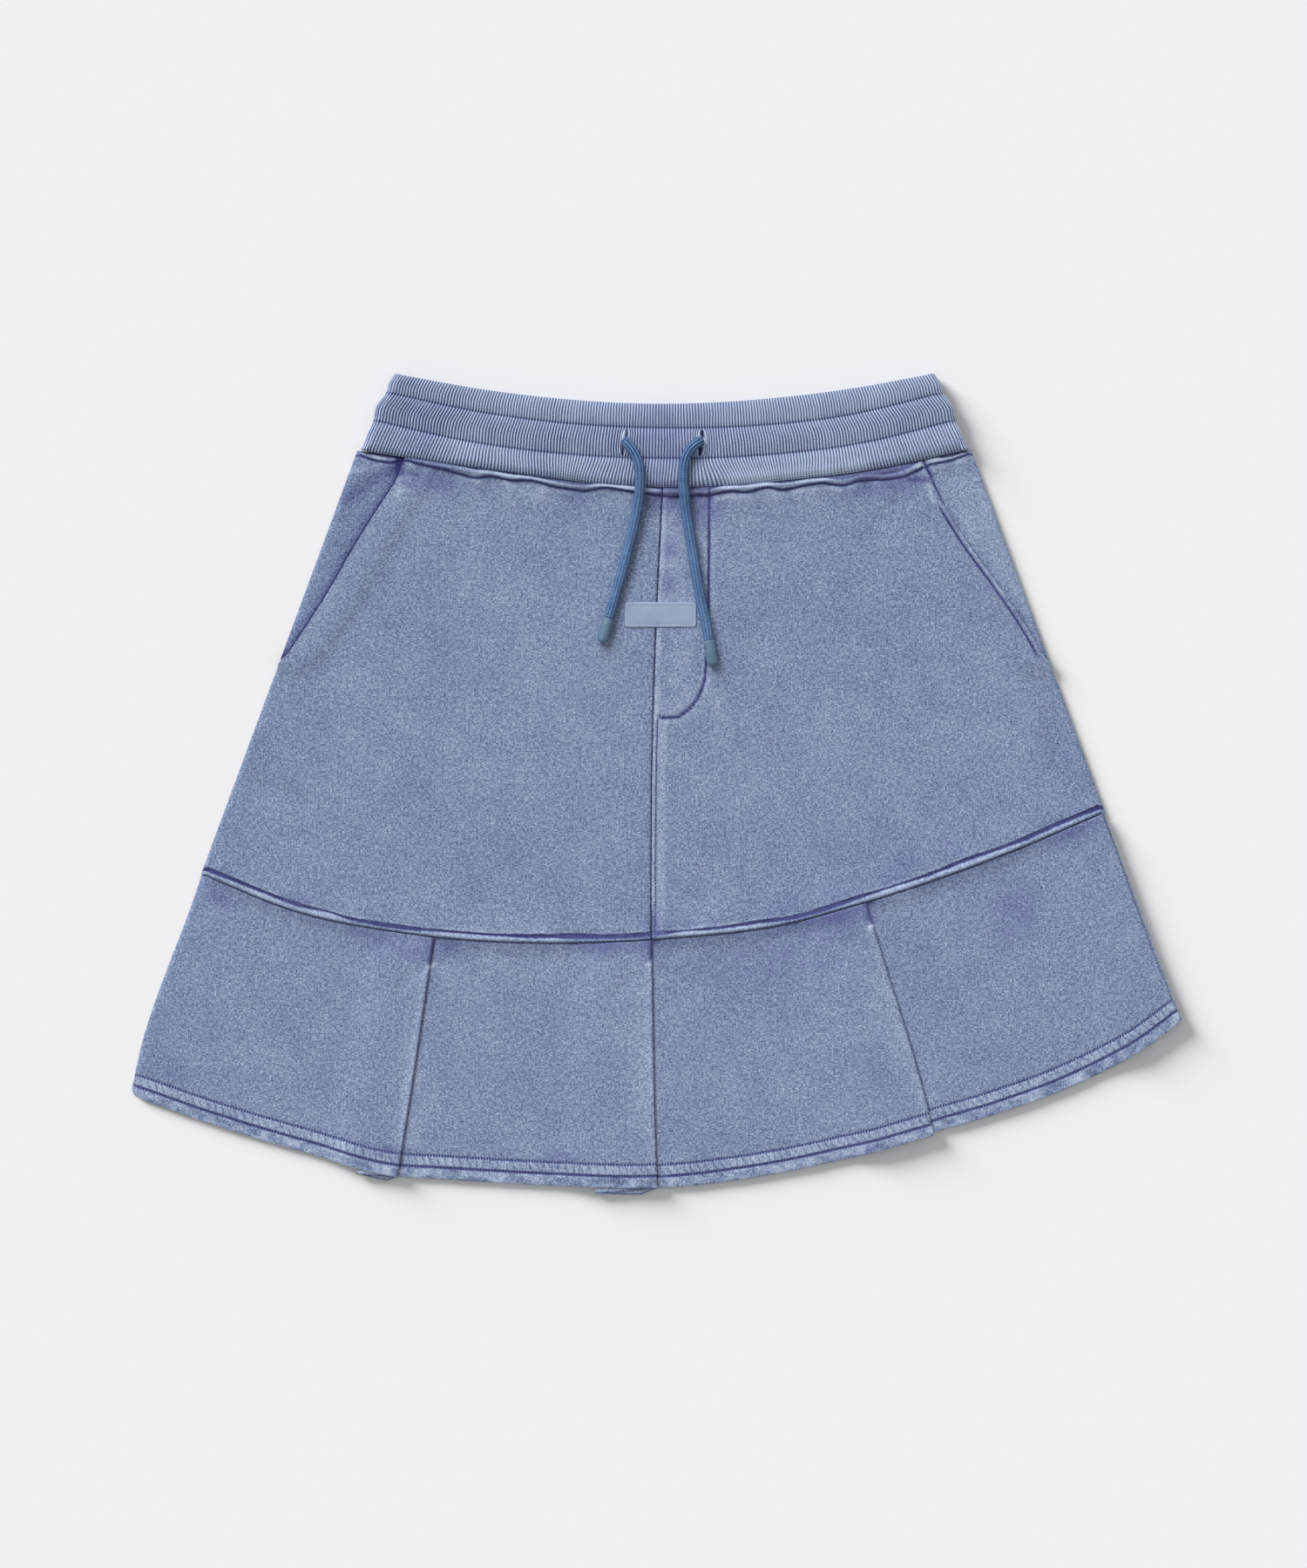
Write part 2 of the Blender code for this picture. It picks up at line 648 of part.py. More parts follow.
def cord(name, route, look):
    """A round cord along a smooth curve through its route."""
    route = np.array(route, float)
    legs = np.linalg.norm(np.diff(route, axis=0), axis=1)
    along = np.concatenate([[0.0], np.cumsum(legs)])
    count = int(round(along[-1] / CORD_STEP))
    at = np.linspace(0.0, along[-1], count + 1)
    line = np.stack([through(list(zip(along, route[:, k])))(at) for k in range(3)], axis=1)
    line = (line - np.array((*CENTRE, 0.0))) * MM
    curve = bpy.data.curves.new(name, "CURVE")
    curve.dimensions = "3D"
    curve.bevel_depth = CORD_RADIUS * MM
    curve.bevel_resolution = 2
    curve.use_fill_caps = True
    spline = curve.splines.new("POLY")
    spline.points.add(len(line) - 1)
    for point, place in zip(spline.points, line):
        point.co = (*place, 1.0)
    curve.materials.append(look)
    obj = bpy.data.objects.new(name, curve)
    bpy.context.collection.objects.link(obj)
    return obj


def cord_tip(name, route, look):
    """The dipped end of a cord, in line with the cord's last stretch."""
    end, before = Vector(route[-1]), Vector(route[-2])
    direction = (end - before).normalized()
    direction.z = 0.0
    direction.normalize()
    sideways = direction.cross(Vector((0, 0, 1))).normalized()
    upwards = sideways.cross(direction)
    start = end + direction * GAP
    points, faces = [], []
    for share, size in TIP_PROFILE:
        for i in range(TIP_SIDES):
            angle = 2 * math.pi * i / TIP_SIDES
            out = sideways * math.cos(angle) + upwards * math.sin(angle)
            points.append(tuple(start + direction * share * TIP_LENGTH + out * size * TIP_RADIUS))
    for ring in range(len(TIP_PROFILE) - 1):
        for i in range(TIP_SIDES):
            a, b = ring * TIP_SIDES + i, ring * TIP_SIDES + (i + 1) % TIP_SIDES
            faces.append((a + TIP_SIDES, b + TIP_SIDES, b, a))
    faces.append(tuple(range(TIP_SIDES)))
    faces.append(tuple(range(len(points) - TIP_SIDES, len(points)))[::-1])
    return add_mesh(name, points, faces, look)


def clear():
    for obj in list(bpy.data.objects):
        bpy.data.objects.remove(obj)


def main():
    clear()
    fleece = {
        name: material(name, colour, 0.95)
        for name, colour in (
            ("ribbed_fleece", (0.22, 0.29, 0.45)),
            ("front_fleece", (0.24, 0.31, 0.46)),
            ("hip_fleece", (0.22, 0.30, 0.46)),
            ("back_fleece", (0.22, 0.29, 0.44)),
            ("flounce_fleece", (0.24, 0.31, 0.47)),
        )
    }
    cord_look = material("knitted_cord", (0.08, 0.15, 0.28), 0.8)
    tip_look = material("dipped_tip", (0.14, 0.21, 0.29), 0.4)
    label_look = material("soft_label", (0.34, 0.43, 0.55), 0.5)

    waistband(fleece["ribbed_fleece"])
    front_panel("front_left", -1, fleece["front_fleece"])
    front_panel("front_right", 1, fleece["front_fleece"])
    pocket_facing("pocket_facing_left", -1, fleece["hip_fleece"])
    pocket_facing("pocket_facing_right", 1, fleece["hip_fleece"])

    back = fleece["back_fleece"]
    body_rows = np.linspace(0.0, 1.0, BACK_ROWS)
    slab("back_panel", body_side(-1), body_side(1), body_top, body_bottom, body_rows, back)
    flounce_front(fleece["flounce_fleece"])
    flounce_rows = np.linspace(0.0, 1.0, FLOUNCE_ROWS)
    slab("flounce_back", flounce_side(-1), flounce_side(1), flounce_top, back_hem, flounce_rows, back)
    label(label_look)
    for name, route in (("left", CORD_LEFT), ("right", CORD_RIGHT)):
        cord(f"drawcord_{name}", route, cord_look)
        cord_tip(f"cord_tip_{name}", route, tip_look)


main()
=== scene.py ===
"""Looks of the pleated skirt: washed fleece shells, ribbing, sewing, cords and a bare label.

Tables and plan curves are in millimetres in the part's own x and y, and are moved by CENTRE when a
mesh is made. X runs across, Y runs up to the waist, Z is height.
"""

import math

import bpy
import numpy as np
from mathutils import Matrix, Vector
from mathutils.bvhtree import BVHTree


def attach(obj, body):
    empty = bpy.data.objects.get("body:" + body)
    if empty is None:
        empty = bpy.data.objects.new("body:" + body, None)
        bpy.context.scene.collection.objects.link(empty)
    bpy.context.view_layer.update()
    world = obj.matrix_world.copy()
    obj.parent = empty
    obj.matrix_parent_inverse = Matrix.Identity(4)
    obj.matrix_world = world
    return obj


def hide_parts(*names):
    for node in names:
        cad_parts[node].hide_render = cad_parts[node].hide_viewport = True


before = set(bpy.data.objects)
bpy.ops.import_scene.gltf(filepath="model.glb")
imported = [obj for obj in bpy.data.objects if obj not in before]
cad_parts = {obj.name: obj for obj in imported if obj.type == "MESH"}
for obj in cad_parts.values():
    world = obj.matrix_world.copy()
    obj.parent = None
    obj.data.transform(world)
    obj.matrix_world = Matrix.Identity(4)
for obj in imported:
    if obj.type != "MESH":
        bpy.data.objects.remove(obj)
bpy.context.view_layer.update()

MM = 0.001
CENTRE = (0.65, 0.2)

# Layers, waistband and outlines, as in the part.
CLOTH = 1.2
GAP = 0.3
LEVEL_0 = CLOTH + GAP
LEVEL_1 = LEVEL_0 + CLOTH + GAP
LEVEL_2 = LEVEL_1 + CLOTH + GAP
ROLL = LEVEL_0 + CLOTH
SEAM_GAP = 0.3
BAND_SLOT = 0.8
BAND_HEIGHT = 2 * 3.4 + BAND_SLOT
BAND_NOSE = BAND_HEIGHT / 2
# about how high a channel of the waistband is
CHANNEL = 15.0
RIBS = 190
NOSE_RIBS = 7
AXIS = 5.0
# station across from -1 to 1, height up of: top edge, first groove, second groove, bottom edge
BAND_LINES = (
    (-1, 235.3, 224.6, 208.5, 191.5), (-0.66, 226, 213.2, 196, 182.4), (-0.33, 220.2, 206.5, 189, 174.6),
    (0, 218, 204, 186.5, 170.3), (0.33, 220.3, 205.4, 188.3, 173.2), (0.66, 226, 211.4, 194.8, 179.6),
    (1, 235.4, 224.3, 208.5, 192),
)
# place down the band, half width
BAND_HALF = ((0, 154.8), (0.5, 158), (1, 159.6), (1.5, 165.2), (2, 167), (2.5, 170.6), (3, 174))
SIDE_HALF = 181.0
SIDE_UP = 179.0
SIDE_SPREAD = 0.369
SEAM_LINE = (
    (-261, -51.5), (-209, -72.5), (-146, -85.5), (-49, -91.5), (11, -88.5), (73, -81), (116, -69.5),
    (199, -41), (257.5, -16.5),
)
HEM_LINE = (
    (-300.4, -179.2), (-250, -197), (-202, -211.4), (-148, -225.4), (-128, -226.6), (-58, -230.6),
    (0, -232.2), (50, -226.9), (122, -211.7), (160, -199.9), (194, -190), (242, -172.2), (278, -153.2),
    (302.2, -135.8),
)
FRONT_SEAM = ((172, 4.1), (107, 0.8), (21, -2), (-92, -2.8))
POCKET_LEFT = ((190, -143.4), (177.5, -147.4), (156, -160.8), (134.5, -174), (113, -186.3), (65, -217.3))
POCKET_RIGHT = ((186, 152.6), (167, 161.5), (144.5, 174.8), (112, 198), (94.5, 210), (63, 227.8))
POCKET_END = 76.0
POCKET_MEETS_SIDE = 68.0
ROLL_STARTS = 70.5
ROLL_LENGTH = 12.5
FACING_END = 71.5
FACING_UNDER = 12.0
FACING_REST = 2.0
FACING_SLOPE = 14.0
# distance from a seam, rise of the inside, added thickness
SEAM_RIDGE = ((0, 1.5, 0.8), (2, 1.5, 1.2), (4, 1, 0.3), (9, 0.6, 0.1), (22, 0, 0))
RIDGE_FADE = (3.0, 10.0)
# fold at the seam, fold at the hem, bow, depth at the seam and hem, hem drop below and of the fold
PLEATS = (
    (-127, -148.3, 0.5, 16, 23.5, 3.2, 0), (-2.4, 1, -0.5, 24, 36, 3.2, -0.7),
    (120.8, 159.8, 1.5, 20, 30, 0, 1.6), (256.3, 301.9, -1.2, 14, 22, 0, 0),
)
PLEAT_RAMP = 22.0
# how far from a fold its marks can lie
PLEAT_REACH = 60.0
BACK_SHORT = 1.0
FLOUNCE_SIDES = ((-261, -300.9, -4.2), (257.8, 302.2, 0.6))
LABEL = ((2.8, 97.2), (20.6, 7.2), 0.8)
CORD_RADIUS = 3.0
CORD_LEFT = (
    (-17.8, 196.2, 9.7), (-15.6, 194, 11.2), (-11.8, 188.6, 11.8), (-9.6, 182, 11.8), (-9.2, 175.5, 11.9),
    (-9.2, 167.5, 10.1), (-10.4, 158.5, 7.4), (-14.2, 141, 6.3), (-19.4, 121.5, 6.1), (-24.8, 102.5, 6.1),
    (-26.9, 95.4, 6.3),
)
CORD_RIGHT = (
    (25.9, 196.4, 9.7), (22.6, 194.4, 11.3), (18.2, 189.2, 11.8), (16.2, 183, 11.8), (15.6, 175, 11.9),
    (16.2, 166.5, 10.1), (17.2, 157.5, 7.5), (20, 140.5, 6.3), (23, 121.5, 6.1), (26.1, 104.5, 6.1),
    (29.2, 90.5, 6.2), (30.5, 82.6, 6.3),
)
TIP_RADIUS = 3.4
TIP_LENGTH = 14.5

# Sewing, wash and creases, from the photograph.
# slits: across, up, half length, half width and lean
EYELETS = ((-17.8, 195.9, 7.3, 1.1, 0.155), (26.0, 195.4, 7.6, 1.5, 0.1))
EYELET_DEPTH = 2.4
# across, shift of the ribs' lower end in the lowest channel
RIB_LEAN = (
    (-165, -1), (-120, 0), (-90, 3), (-60, 2), (-38, -2.5), (-20, -2), (0, -1), (12, -1.5), (22, 0),
    (36, 4.5), (50, 3.5), (66, 1), (82, -2), (96, -3), (112, -2), (132, -1), (165, 0),
)
# across, height up of the fold's upper side and of the stitching below it, how pale the fold is
WAIST_FOLD = (
    (-171, 190.9, 189, 0.7), (-160, 188.6, 185.6, 0.8), (-153, 187.2, 184.3, 0.6),
    (-143, 188.8, 185.3, 0.1), (-136, 187.4, 183.6, 0.15), (-120, 184, 180, 0.15),
    (-110, 181.9, 177.3, 0.4), (-103, 180.3, 175.7, 0.7), (-96, 180, 176.4, 0.75),
    (-84, 177.8, 174.6, 0.9), (-72, 176.6, 173.9, 0.9), (-60, 174, 171.2, 0.9), (-50, 172, 169.4, 0.8),
    (-40, 171.3, 168.3, 0.75), (-30, 173.2, 169.8, 0.95), (-15, 171.6, 167.8, 0.95), (0, 169.3, 166, 0.8),
    (8, 168, 165, 0.1), (20, 168.5, 165.6, 0.4), (32, 168.7, 165.9, 0.5), (36, 170.6, 166.8, 0.8),
    (44, 171.2, 168, 1), (50, 171.4, 167.4, 0.9), (65, 173.2, 170.1, 0.95), (72, 172.5, 169, 0.8),
    (90, 175.3, 172, 0.8), (97, 175.5, 172.6, 0.8), (106, 174.5, 171.3, 0.6), (118, 176.7, 174, 0.2),
    (135, 177.8, 175, 0.15), (142, 179.6, 176.3, 0.3), (152, 185.2, 181, 0.9), (158, 187.8, 183.5, 0.95),
    (165, 187.3, 184.6, 0.8), (181, 191.6, 189.6, 0.8),
)
# distances from the middle where the pale fold is gone and where it is whole
FOLD_FADES = (176.5, 172.5)
# across, height of the stitched groove over the flounce seam, its half width, how pale the roll below is
SEAM_SEWING = (
    (-261, 3.5, 1.1, 0.45), (-245, 4, 1.2, 0.65), (-225, 4.4, 0.85, 0.85), (-203, 4.1, 0.95, 0.75),
    (-186, 4.5, 0.4, 0.9), (-176, 3.3, 0.8, 0.45), (-165, 3.1, 1.1, 0.35), (-145, 3.1, 1.05, 0.6),
    (-125, 3.9, 0.7, 0.75), (-88, 3.9, 0.6, 0.9), (-72, 3.8, 1.1, 0.7), (-60, 4, 0.9, 0.85),
    (-48, 3.9, 1.4, 0.25), (-22, 3, 1.1, 0.45), (5, 3.4, 1, 0.35), (14, 3.6, 0.4, 0.95),
    (34, 3.5, 0.7, 0.9), (62, 4, 0.9, 0.8), (76, 3, 1.1, 0.3), (100, 3.2, 1.2, 0.35), (116, 4, 1, 0.7),
    (130, 4.2, 0.45, 0.95), (160, 4.2, 0.9, 0.9), (178, 4.9, 0.95, 0.9), (196, 4.3, 0.75, 0.95),
    (212, 4, 1.1, 0.6), (232, 4.4, 1.1, 0.7), (256, 3.9, 1.2, 0.45),
)
# fly stitching from the waist: across, up
FLY_LINE = (
    (30.8, 169), (30.5, 125), (30.2, 104.5), (28.8, 66.5), (27.6, 57.7), (24.4, 50.1), (19.4, 43.2),
    (14.4, 39.5), (9.4, 38.2), (1.8, 38.8),
)
# the fly lies left of a place across and above a height
FLY_AREA = (46, 22)
FLY_POINTS = 160
# stitched rows above the hem: height, half width, how much the stitches break the row up
HEM_ROWS = ((13.3, 0.6, 0.9), (6.8, 0.7, 0.5))
# how far the row of stitches below the fly is from the centre front
FRONT_ROW = 2.6
# length that a pleat's fold is sewn down, how pale its edge is (wash and painted highlight), how much
# painted light lifts the fold's cast shadow on the cloth beside it
PLEAT_SEWN = ((17.0, 0.26, 0.3), (13.5, 0.18, 0.25), (13.0, 0.18, 0.05))
# patches of wash, and pale strips of wash and painted highlight along the front pleats' folds: across,
# up, half length, half height, tilt in degrees, shade, purple
WASH_AND_HIGHLIGHTS = (
    (14, 166, 21, 9, 0, -0.44, 0.7), (-134, 176, 27, 7, -12, -0.3, 0.55),
    (-46, 166.5, 14, 6, -6, -0.24, 0.4), (132, 173, 26, 7, 14, -0.3, 0.5),
    (-178, 172, 14, 14, 55, -0.06, 0), (-216, 5, 18, 9, -35, -0.12, 0.1),
    (228, 33, 10, 20, 20, -0.12, 0.2), (-250, -66, 9, 5, -20, -0.2, 0.4),
    (-206, -69, 13, 5, -15, -0.2, 0.4), (-162, -88, 18, 5, -10, -0.24, 0.5),
    (-119, -92, 6, 5, 0, -0.3, 0.5), (-137, -97, 9, 5, 0, -0.12, 0.5), (-24, -92, 26, 5, 0, -0.26, 0.6),
    (94, -78, 26, 5, 14, -0.3, 0.4), (240, -27, 14, 7, 20, -0.34, 0.35),
    (108, -78, 12, 9, 15, -0.26, 0.35), (56, -102, 50, 16, 8, -0.1, 0.2),
    (204, -74, 16, 20, 10, -0.1, 0.3), (-276, -168, 16, 7, -20, -0.1, 0.05),
    # pale strips along the three front pleats' folds: wash and painted highlight
    (-140, -170, 8, 52, 0, 0.14, 0), (-8, -160, 7, 60, 0, 0.14, 0), (132, -130, 7, 50, 15, 0.12, 0),
    (35, 46, 7, 14, 20, 0.16, 0), (-150, -213, 12, 5, -12, -0.2, 0.4), (-54, -216, 10, 5, 0, -0.2, 0.4),
    (118, -206, 22, 5, 14, -0.2, 0.4), (189, -188, 8, 5, 18, -0.2, 0.4), (264, -158, 8, 5, 25, -0.2, 0.4),
    (10, 141, 6, 11, 0, 0.2, 0.25), (9, 136, 4, 5, 0, -0.34, 0.7), (8, 116, 4, 5, 0, -0.34, 0.7),
    (29, 108, 2.4, 7, 0, -0.16, 0.5), (22, 152, 6, 7, 0, -0.1, 0.7), (0, -79, 6, 8, 0, -0.05, 0.5),
    (54, 165, 22, 4, 3, 0.24, 0), (96, 168.5, 13, 4, 5, 0.24, 0), (-23, 162, 11, 5, 0, 0.22, 0),
    (-66, 165, 14, 4, -12, 0.2, 0), (3, 150, 3.5, 5, 0, 0.24, 0), (136, -50, 95, 13, 17, -0.08, 0.1),
)
# small strokes of wash, the dark ones at the pocket corners also painted shade in the creases there: from
# x, y to x, y, half width, shade, purple
WASH_AND_SHADE_STROKES = (
    # first: painted shade along the lower side of a fold in the left facing
    (-176, 164, -152, 182, 3.6, -0.26, 0), (-175, 180, -160, 182, 2.6, 0.4, 0),
    # the left pocket's top corner: dark strokes of painted shade in its creases, with wash
    (-149.5, 189, -146, 183, 1.8, -0.9, -0.7), (-144.5, 188, -147, 181, 1.6, -0.8, -0.7),
    (-148, 183, -148.2, 179, 0.9, -0.9, -0.6), (-147, 178.4, -137, 177.3, 0.7, -0.8, 0.5),
    (-145, 173, -140, 171, 0.8, -0.25, 0.6), (-147.5, 166, -147, 175, 1.6, 0.3, 0),
    # the right pocket's top corner: dark strokes of painted shade in its creases, with wash, and pale
    # ones
    (153, 185, 155, 182, 1.2, -0.9, 0.1), (155, 182, 158.3, 176.7, 1, -0.9, 0.1),
    (145, 174.8, 156, 174.2, 1, -0.7, 0.5), (150.5, 178, 155, 177.6, 1.1, 0.35, 0),
    (155.8, 173, 157.5, 168, 1.4, 0.5, 0), (159.2, 173, 163.4, 163, 0.8, -0.9, 0.2),
    (157, 167, 160, 162, 1.2, 0.4, 0), (-129.6, -105, -127.4, -103.4, 1.1, 1.3, 0),
    (-4.4, -103, -2.2, -102, 0.9, 1.2, 0), (122.6, -82.3, 124.4, -80.8, 1, 1.2, 0),
    (-90, -96, -84, -97.5, 1.2, -0.25, 0.1), (35, 163.5, 45, 165.8, 1.5, 0.4, 0),
    (24, 161, 28, 163.5, 1.3, 0.35, 0),
)
# creases: from x, y to x, y, half width, height
CREASES = (
    (-236, 12, -206, -2, 5, 0.5), (-226, 2, -200, -14, 6, -0.45), (-180, 178, -196, 164, 6, -0.6),
    (-168, 180, -186, 160, 5, 0.6), (-150, 179, -136, 178, 2.2, -0.7), (-44, 165, -40, 140, 7, -0.4),
    (-100, 173, -112, 140, 8, -0.35), (70, 166, 74, 140, 7, -0.35), (48, 165, 44, 152, 4, 0.4),
    (150, 176, 142, 173, 2.2, -0.7), (140, 160, 128, 148, 5, -0.4), (221, 50, 233, 20, 6, -0.45),
    (212, 52, 224, 18, 6, 0.4), (-70, -78, -84, -48, 8, -0.35), (60, -66, 72, -36, 8, -0.35),
    (170, -42, 158, -16, 7, -0.35), (-137, -108, -147, -118, 3, -0.6),
    (-125, -104, -110, -103, 2.5, -0.5), (-12, -110, -24, -122, 3.5, -0.5), (4, -108, 18, -112, 3, -0.4),
    (114, -92, 104, -106, 4, -0.5), (-220, -92, -226, -128, 9, -0.5), (-186, -92, -190, -116, 8, 0.4),
    (-70, -104, -72, -136, 9, -0.45), (44, -98, 52, -132, 9, -0.5), (80, -92, 92, -120, 8, 0.45),
    (196, -58, 212, -92, 8, -0.5), (222, -50, 240, -82, 8, 0.4),
)


def smooth(t):
    """0 below 0, 1 above 1 and a soft step between them."""
    t = np.clip(t, 0, 1)
    return t * t * (3 - 2 * t)


def step(value, start, finish):
    """A soft step, 0 at the start and 1 at the finish."""
    return smooth((value - start) / (finish - start))


def mix(a, b, t):
    return a + (b - a) * t


def bump(distance, width, power=2):
    """1 at no distance, falling away over a width."""
    return np.exp(-(np.abs(distance / width) ** power))


def through(places, values):
    """A smooth function through values at places, straight on past its ends."""
    x, y = np.array(sorted(zip(places, values)), float).T
    slope = np.gradient(y, x)

    def value(at):
        at = np.asarray(at, float)
        i = np.clip(np.searchsorted(x, at) - 1, 0, len(x) - 2)
        width = x[i + 1] - x[i]
        t = (at - x[i]) / width
        u = np.clip(t, 0, 1)
        first = (1 + 2 * u) * (1 - u) ** 2 * y[i] + u * (1 - u) ** 2 * width * slope[i]
        second = u * u * (3 - 2 * u) * y[i + 1] - u * u * (1 - u) * width * slope[i + 1]
        return first + second + (t - u) * width * np.where(t > 1, slope[i + 1], slope[i])

    return value


def curves(rows):
    """Smooth functions of a table's first column, one for each of its other columns."""
    places, *columns = zip(*rows)
    return [through(places, column) for column in columns]


def wander(at, size, seed):
    """Smooth unevenness along a line, from about -1 to 1."""
    table = np.random.default_rng(seed).uniform(-1, 1, 512)
    place = np.asarray(at, float) / size + 256
    i = np.floor(place).astype(int)
    return mix(table[i % 512], table[(i + 1) % 512], smooth(place - i))


def clouds(x, y, size, seed):
    """Smooth unevenness over a surface, from about -1 to 1."""
    table = np.random.default_rng(seed).uniform(-1, 1, (128, 128))
    across, up = np.asarray(x, float) / size + 64, np.asarray(y, float) / size + 64
    i, j = np.floor(across).astype(int), np.floor(up).astype(int)
    s = smooth(across - i)
    near, far = (mix(table[i % 128, k % 128], table[(i + 1) % 128, k % 128], s) for k in (j, j + 1))
    return mix(near, far, smooth(up - j))


band_curves = curves(BAND_LINES)
two_columns = (BAND_HALF, SEAM_LINE, HEM_LINE, FRONT_SEAM, RIB_LEAN, POCKET_LEFT, POCKET_RIGHT)
band_half, seam, hem, front_seam, rib_lean, *pockets = (curves(rows)[0] for rows in two_columns)
fold_top, fold_stitch, fold_pale = curves(WAIST_FOLD)
groove_up, groove_half, groove_pale = curves(SEAM_SEWING)
ridge_curves = curves(SEAM_RIDGE)


def waist(x):
    return band_curves[-1]((x - AXIS) / BAND_HALF[-1][1])


def body_top(x):
    return waist(x) - SEAM_GAP


def body_bottom(x):
    return seam(x) + SEAM_GAP / 2


def flounce_top(x):
    return seam(x) - SEAM_GAP / 2


def back_hem(x):
    return hem(x) + BACK_SHORT


def side(y, hand):
    """Silhouette of the body at a height; hand is -1 at the left and 1 at the right."""
    return AXIS + hand * (SIDE_HALF + SIDE_SPREAD * (SIDE_UP - y))


def meeting(line, edge):
    """Height up at which an edge, given across at a height, meets a line, given up at a place across."""
    y = 100
    for _ in range(16):
        y = float(line(edge(y)))
    return y


def corner(line, hand):
    """Height up at which a line meets the body's rolled side."""
    return meeting(line, lambda y: side(y, hand) - hand * ROLL)


def steep(line, x):
    """How much longer a line is than its run across, at a place."""
    return np.hypot(1, line(x + 0.5) - line(x - 0.5))


def ridge(distance, value):
    """A column of SEAM_RIDGE at a distance from a seam."""
    reach = SEAM_RIDGE[-1][0]
    return value(np.clip(distance, 0, reach)) * (distance < reach)


def near_segment(x, y, x1, y1, x2, y2):
    """Distance from a short line, and how far along it from 0 to 1."""
    dx, dy = x2 - x1, y2 - y1
    t = np.clip(((x - x1) * dx + (y - y1) * dy) / (dx * dx + dy * dy), 0, 1)
    return np.hypot(x - x1 - t * dx, y - y1 - t * dy), t


def run_of(points):
    """Distance run along a line of points, at each of them."""
    return np.concatenate([[0], np.cumsum(np.linalg.norm(np.diff(points, axis=0), axis=1))])


def even_points(route, count):
    """Points at even distances along the smooth curve through a route."""
    route = np.array(route, float)
    legs = run_of(route)
    at = np.linspace(0, legs[-1], count)
    return np.stack([through(legs, column)(at) for column in route.T], axis=1)


def placed(x, y, z):
    """Points from their coordinates."""
    return np.stack(np.broadcast_arrays(x, y, z), axis=-1)


def rounded(distance, radius=0.8):
    """How far a cut edge's upper corner drops, near the edge."""
    inside = np.clip(1 - distance / radius, 0, 1)
    return radius * (1 - np.sqrt(1 - inside**2))


class Surface:
    """Relief, marks of wash, and painted shade and highlights that build up over a grid of points."""

    def __init__(self, x, y):
        self.x, self.y = x, y
        self.height, self.purple = np.zeros(x.shape), np.zeros(x.shape)
        self.shade = 0.05 * (clouds(x, y, 34, 11) + clouds(x, y, 12, 12)) + 0.04 * clouds(x, y, 4.5, 13)
        uneven = 1 + 0.5 * clouds(x, y, 7, 31) + 0.3 * clouds(x, y, 2.6, 32)
        # patches of wash, and painted highlights along the pleats' folds
        for across, up, half_x, half_y, tilt, shade, purple in WASH_AND_HIGHLIGHTS:
            c, s = math.cos(math.radians(tilt)), math.sin(math.radians(tilt))
            u, v = (x - across) * c + (y - up) * s, (y - up) * c - (x - across) * s
            self.add(bump(u, half_x) * bump(v, half_y) * uneven, 0, shade, purple)
        for *ends, width, rise in CREASES:
            self.add(bump(near_segment(x, y, *ends)[0], width), rise)

    def add(self, weight, height=0, shade=0, purple=0):
        self.height = self.height + weight * height
        self.shade = self.shade + weight * shade
        self.purple = self.purple + weight * purple

    def paint(self, weight, shade):
        """Take the shade towards a value."""
        self.shade = mix(self.shade, shade, np.clip(weight, 0, 1))

    def marks(self, **more):
        """The wash, painted shade and highlights, with the small strokes over the sewing, some of them
        painted shade.
        """
        for *ends, width, shade, purple in WASH_AND_SHADE_STROKES:
            self.add(bump(near_segment(self.x, self.y, *ends)[0], width), 0, shade, purple)
        return {"shade": np.clip(self.shade, -1.3, 1), "purple": np.clip(self.purple, 0, 1), **more}


def waist_sewing(s, fade):
    """The dark band under the ribs, painted shade with purple wash, the pale fold and the stitching below
    it.
    """
    x, y = s.x, s.y
    upper, line = fold_top(x), fold_stitch(x) + 0.2 * wander(x, 5, 41)
    pale = fold_pale(x) * step(np.abs(x - AXIS), *FOLD_FADES)
    inside = bump(y - (upper + line) / 2, (upper - line) * 0.52, 4) * fade
    above = smooth((y - upper) / 0.8 + 0.5)
    mottle = 1 + 0.14 * wander(x, 2.4, 42) + 0.14 * wander(x, 7, 43)
    groove = bump(y - line, 0.75, 4) * fade
    # painted shade with purple wash: the cloth just under the ribs is darkened
    s.paint(above * fade, -0.3)
    s.paint(inside * (1 - above), (1.2 * pale - 0.2) * mottle)
    s.add(inside * (1 - pale), purple=0.5)
    s.add(bump(y - line, 1.9) * fade, shade=-0.05, purple=0.3)
    s.add(bump(line - y - 2.2, 1.3) * fade, shade=0.1 + 0.25 * pale)
    s.add(groove, height=-0.75)
    s.add(above * fade, height=-0.8, purple=0.8)
    s.add(inside, height=1.15)
    below = smooth((line - y) / 0.5) * bump(line - y, 3.6) * fade
    s.add(below * wander(x + 0.4 * y, 4.2, 45), height=0.5, shade=0.3)
    s.add(bump(line - y, 12) * (y < line) * wander(x, 6.5, 46) * fade, height=0.3, shade=0.1)
    s.paint(groove, -1)


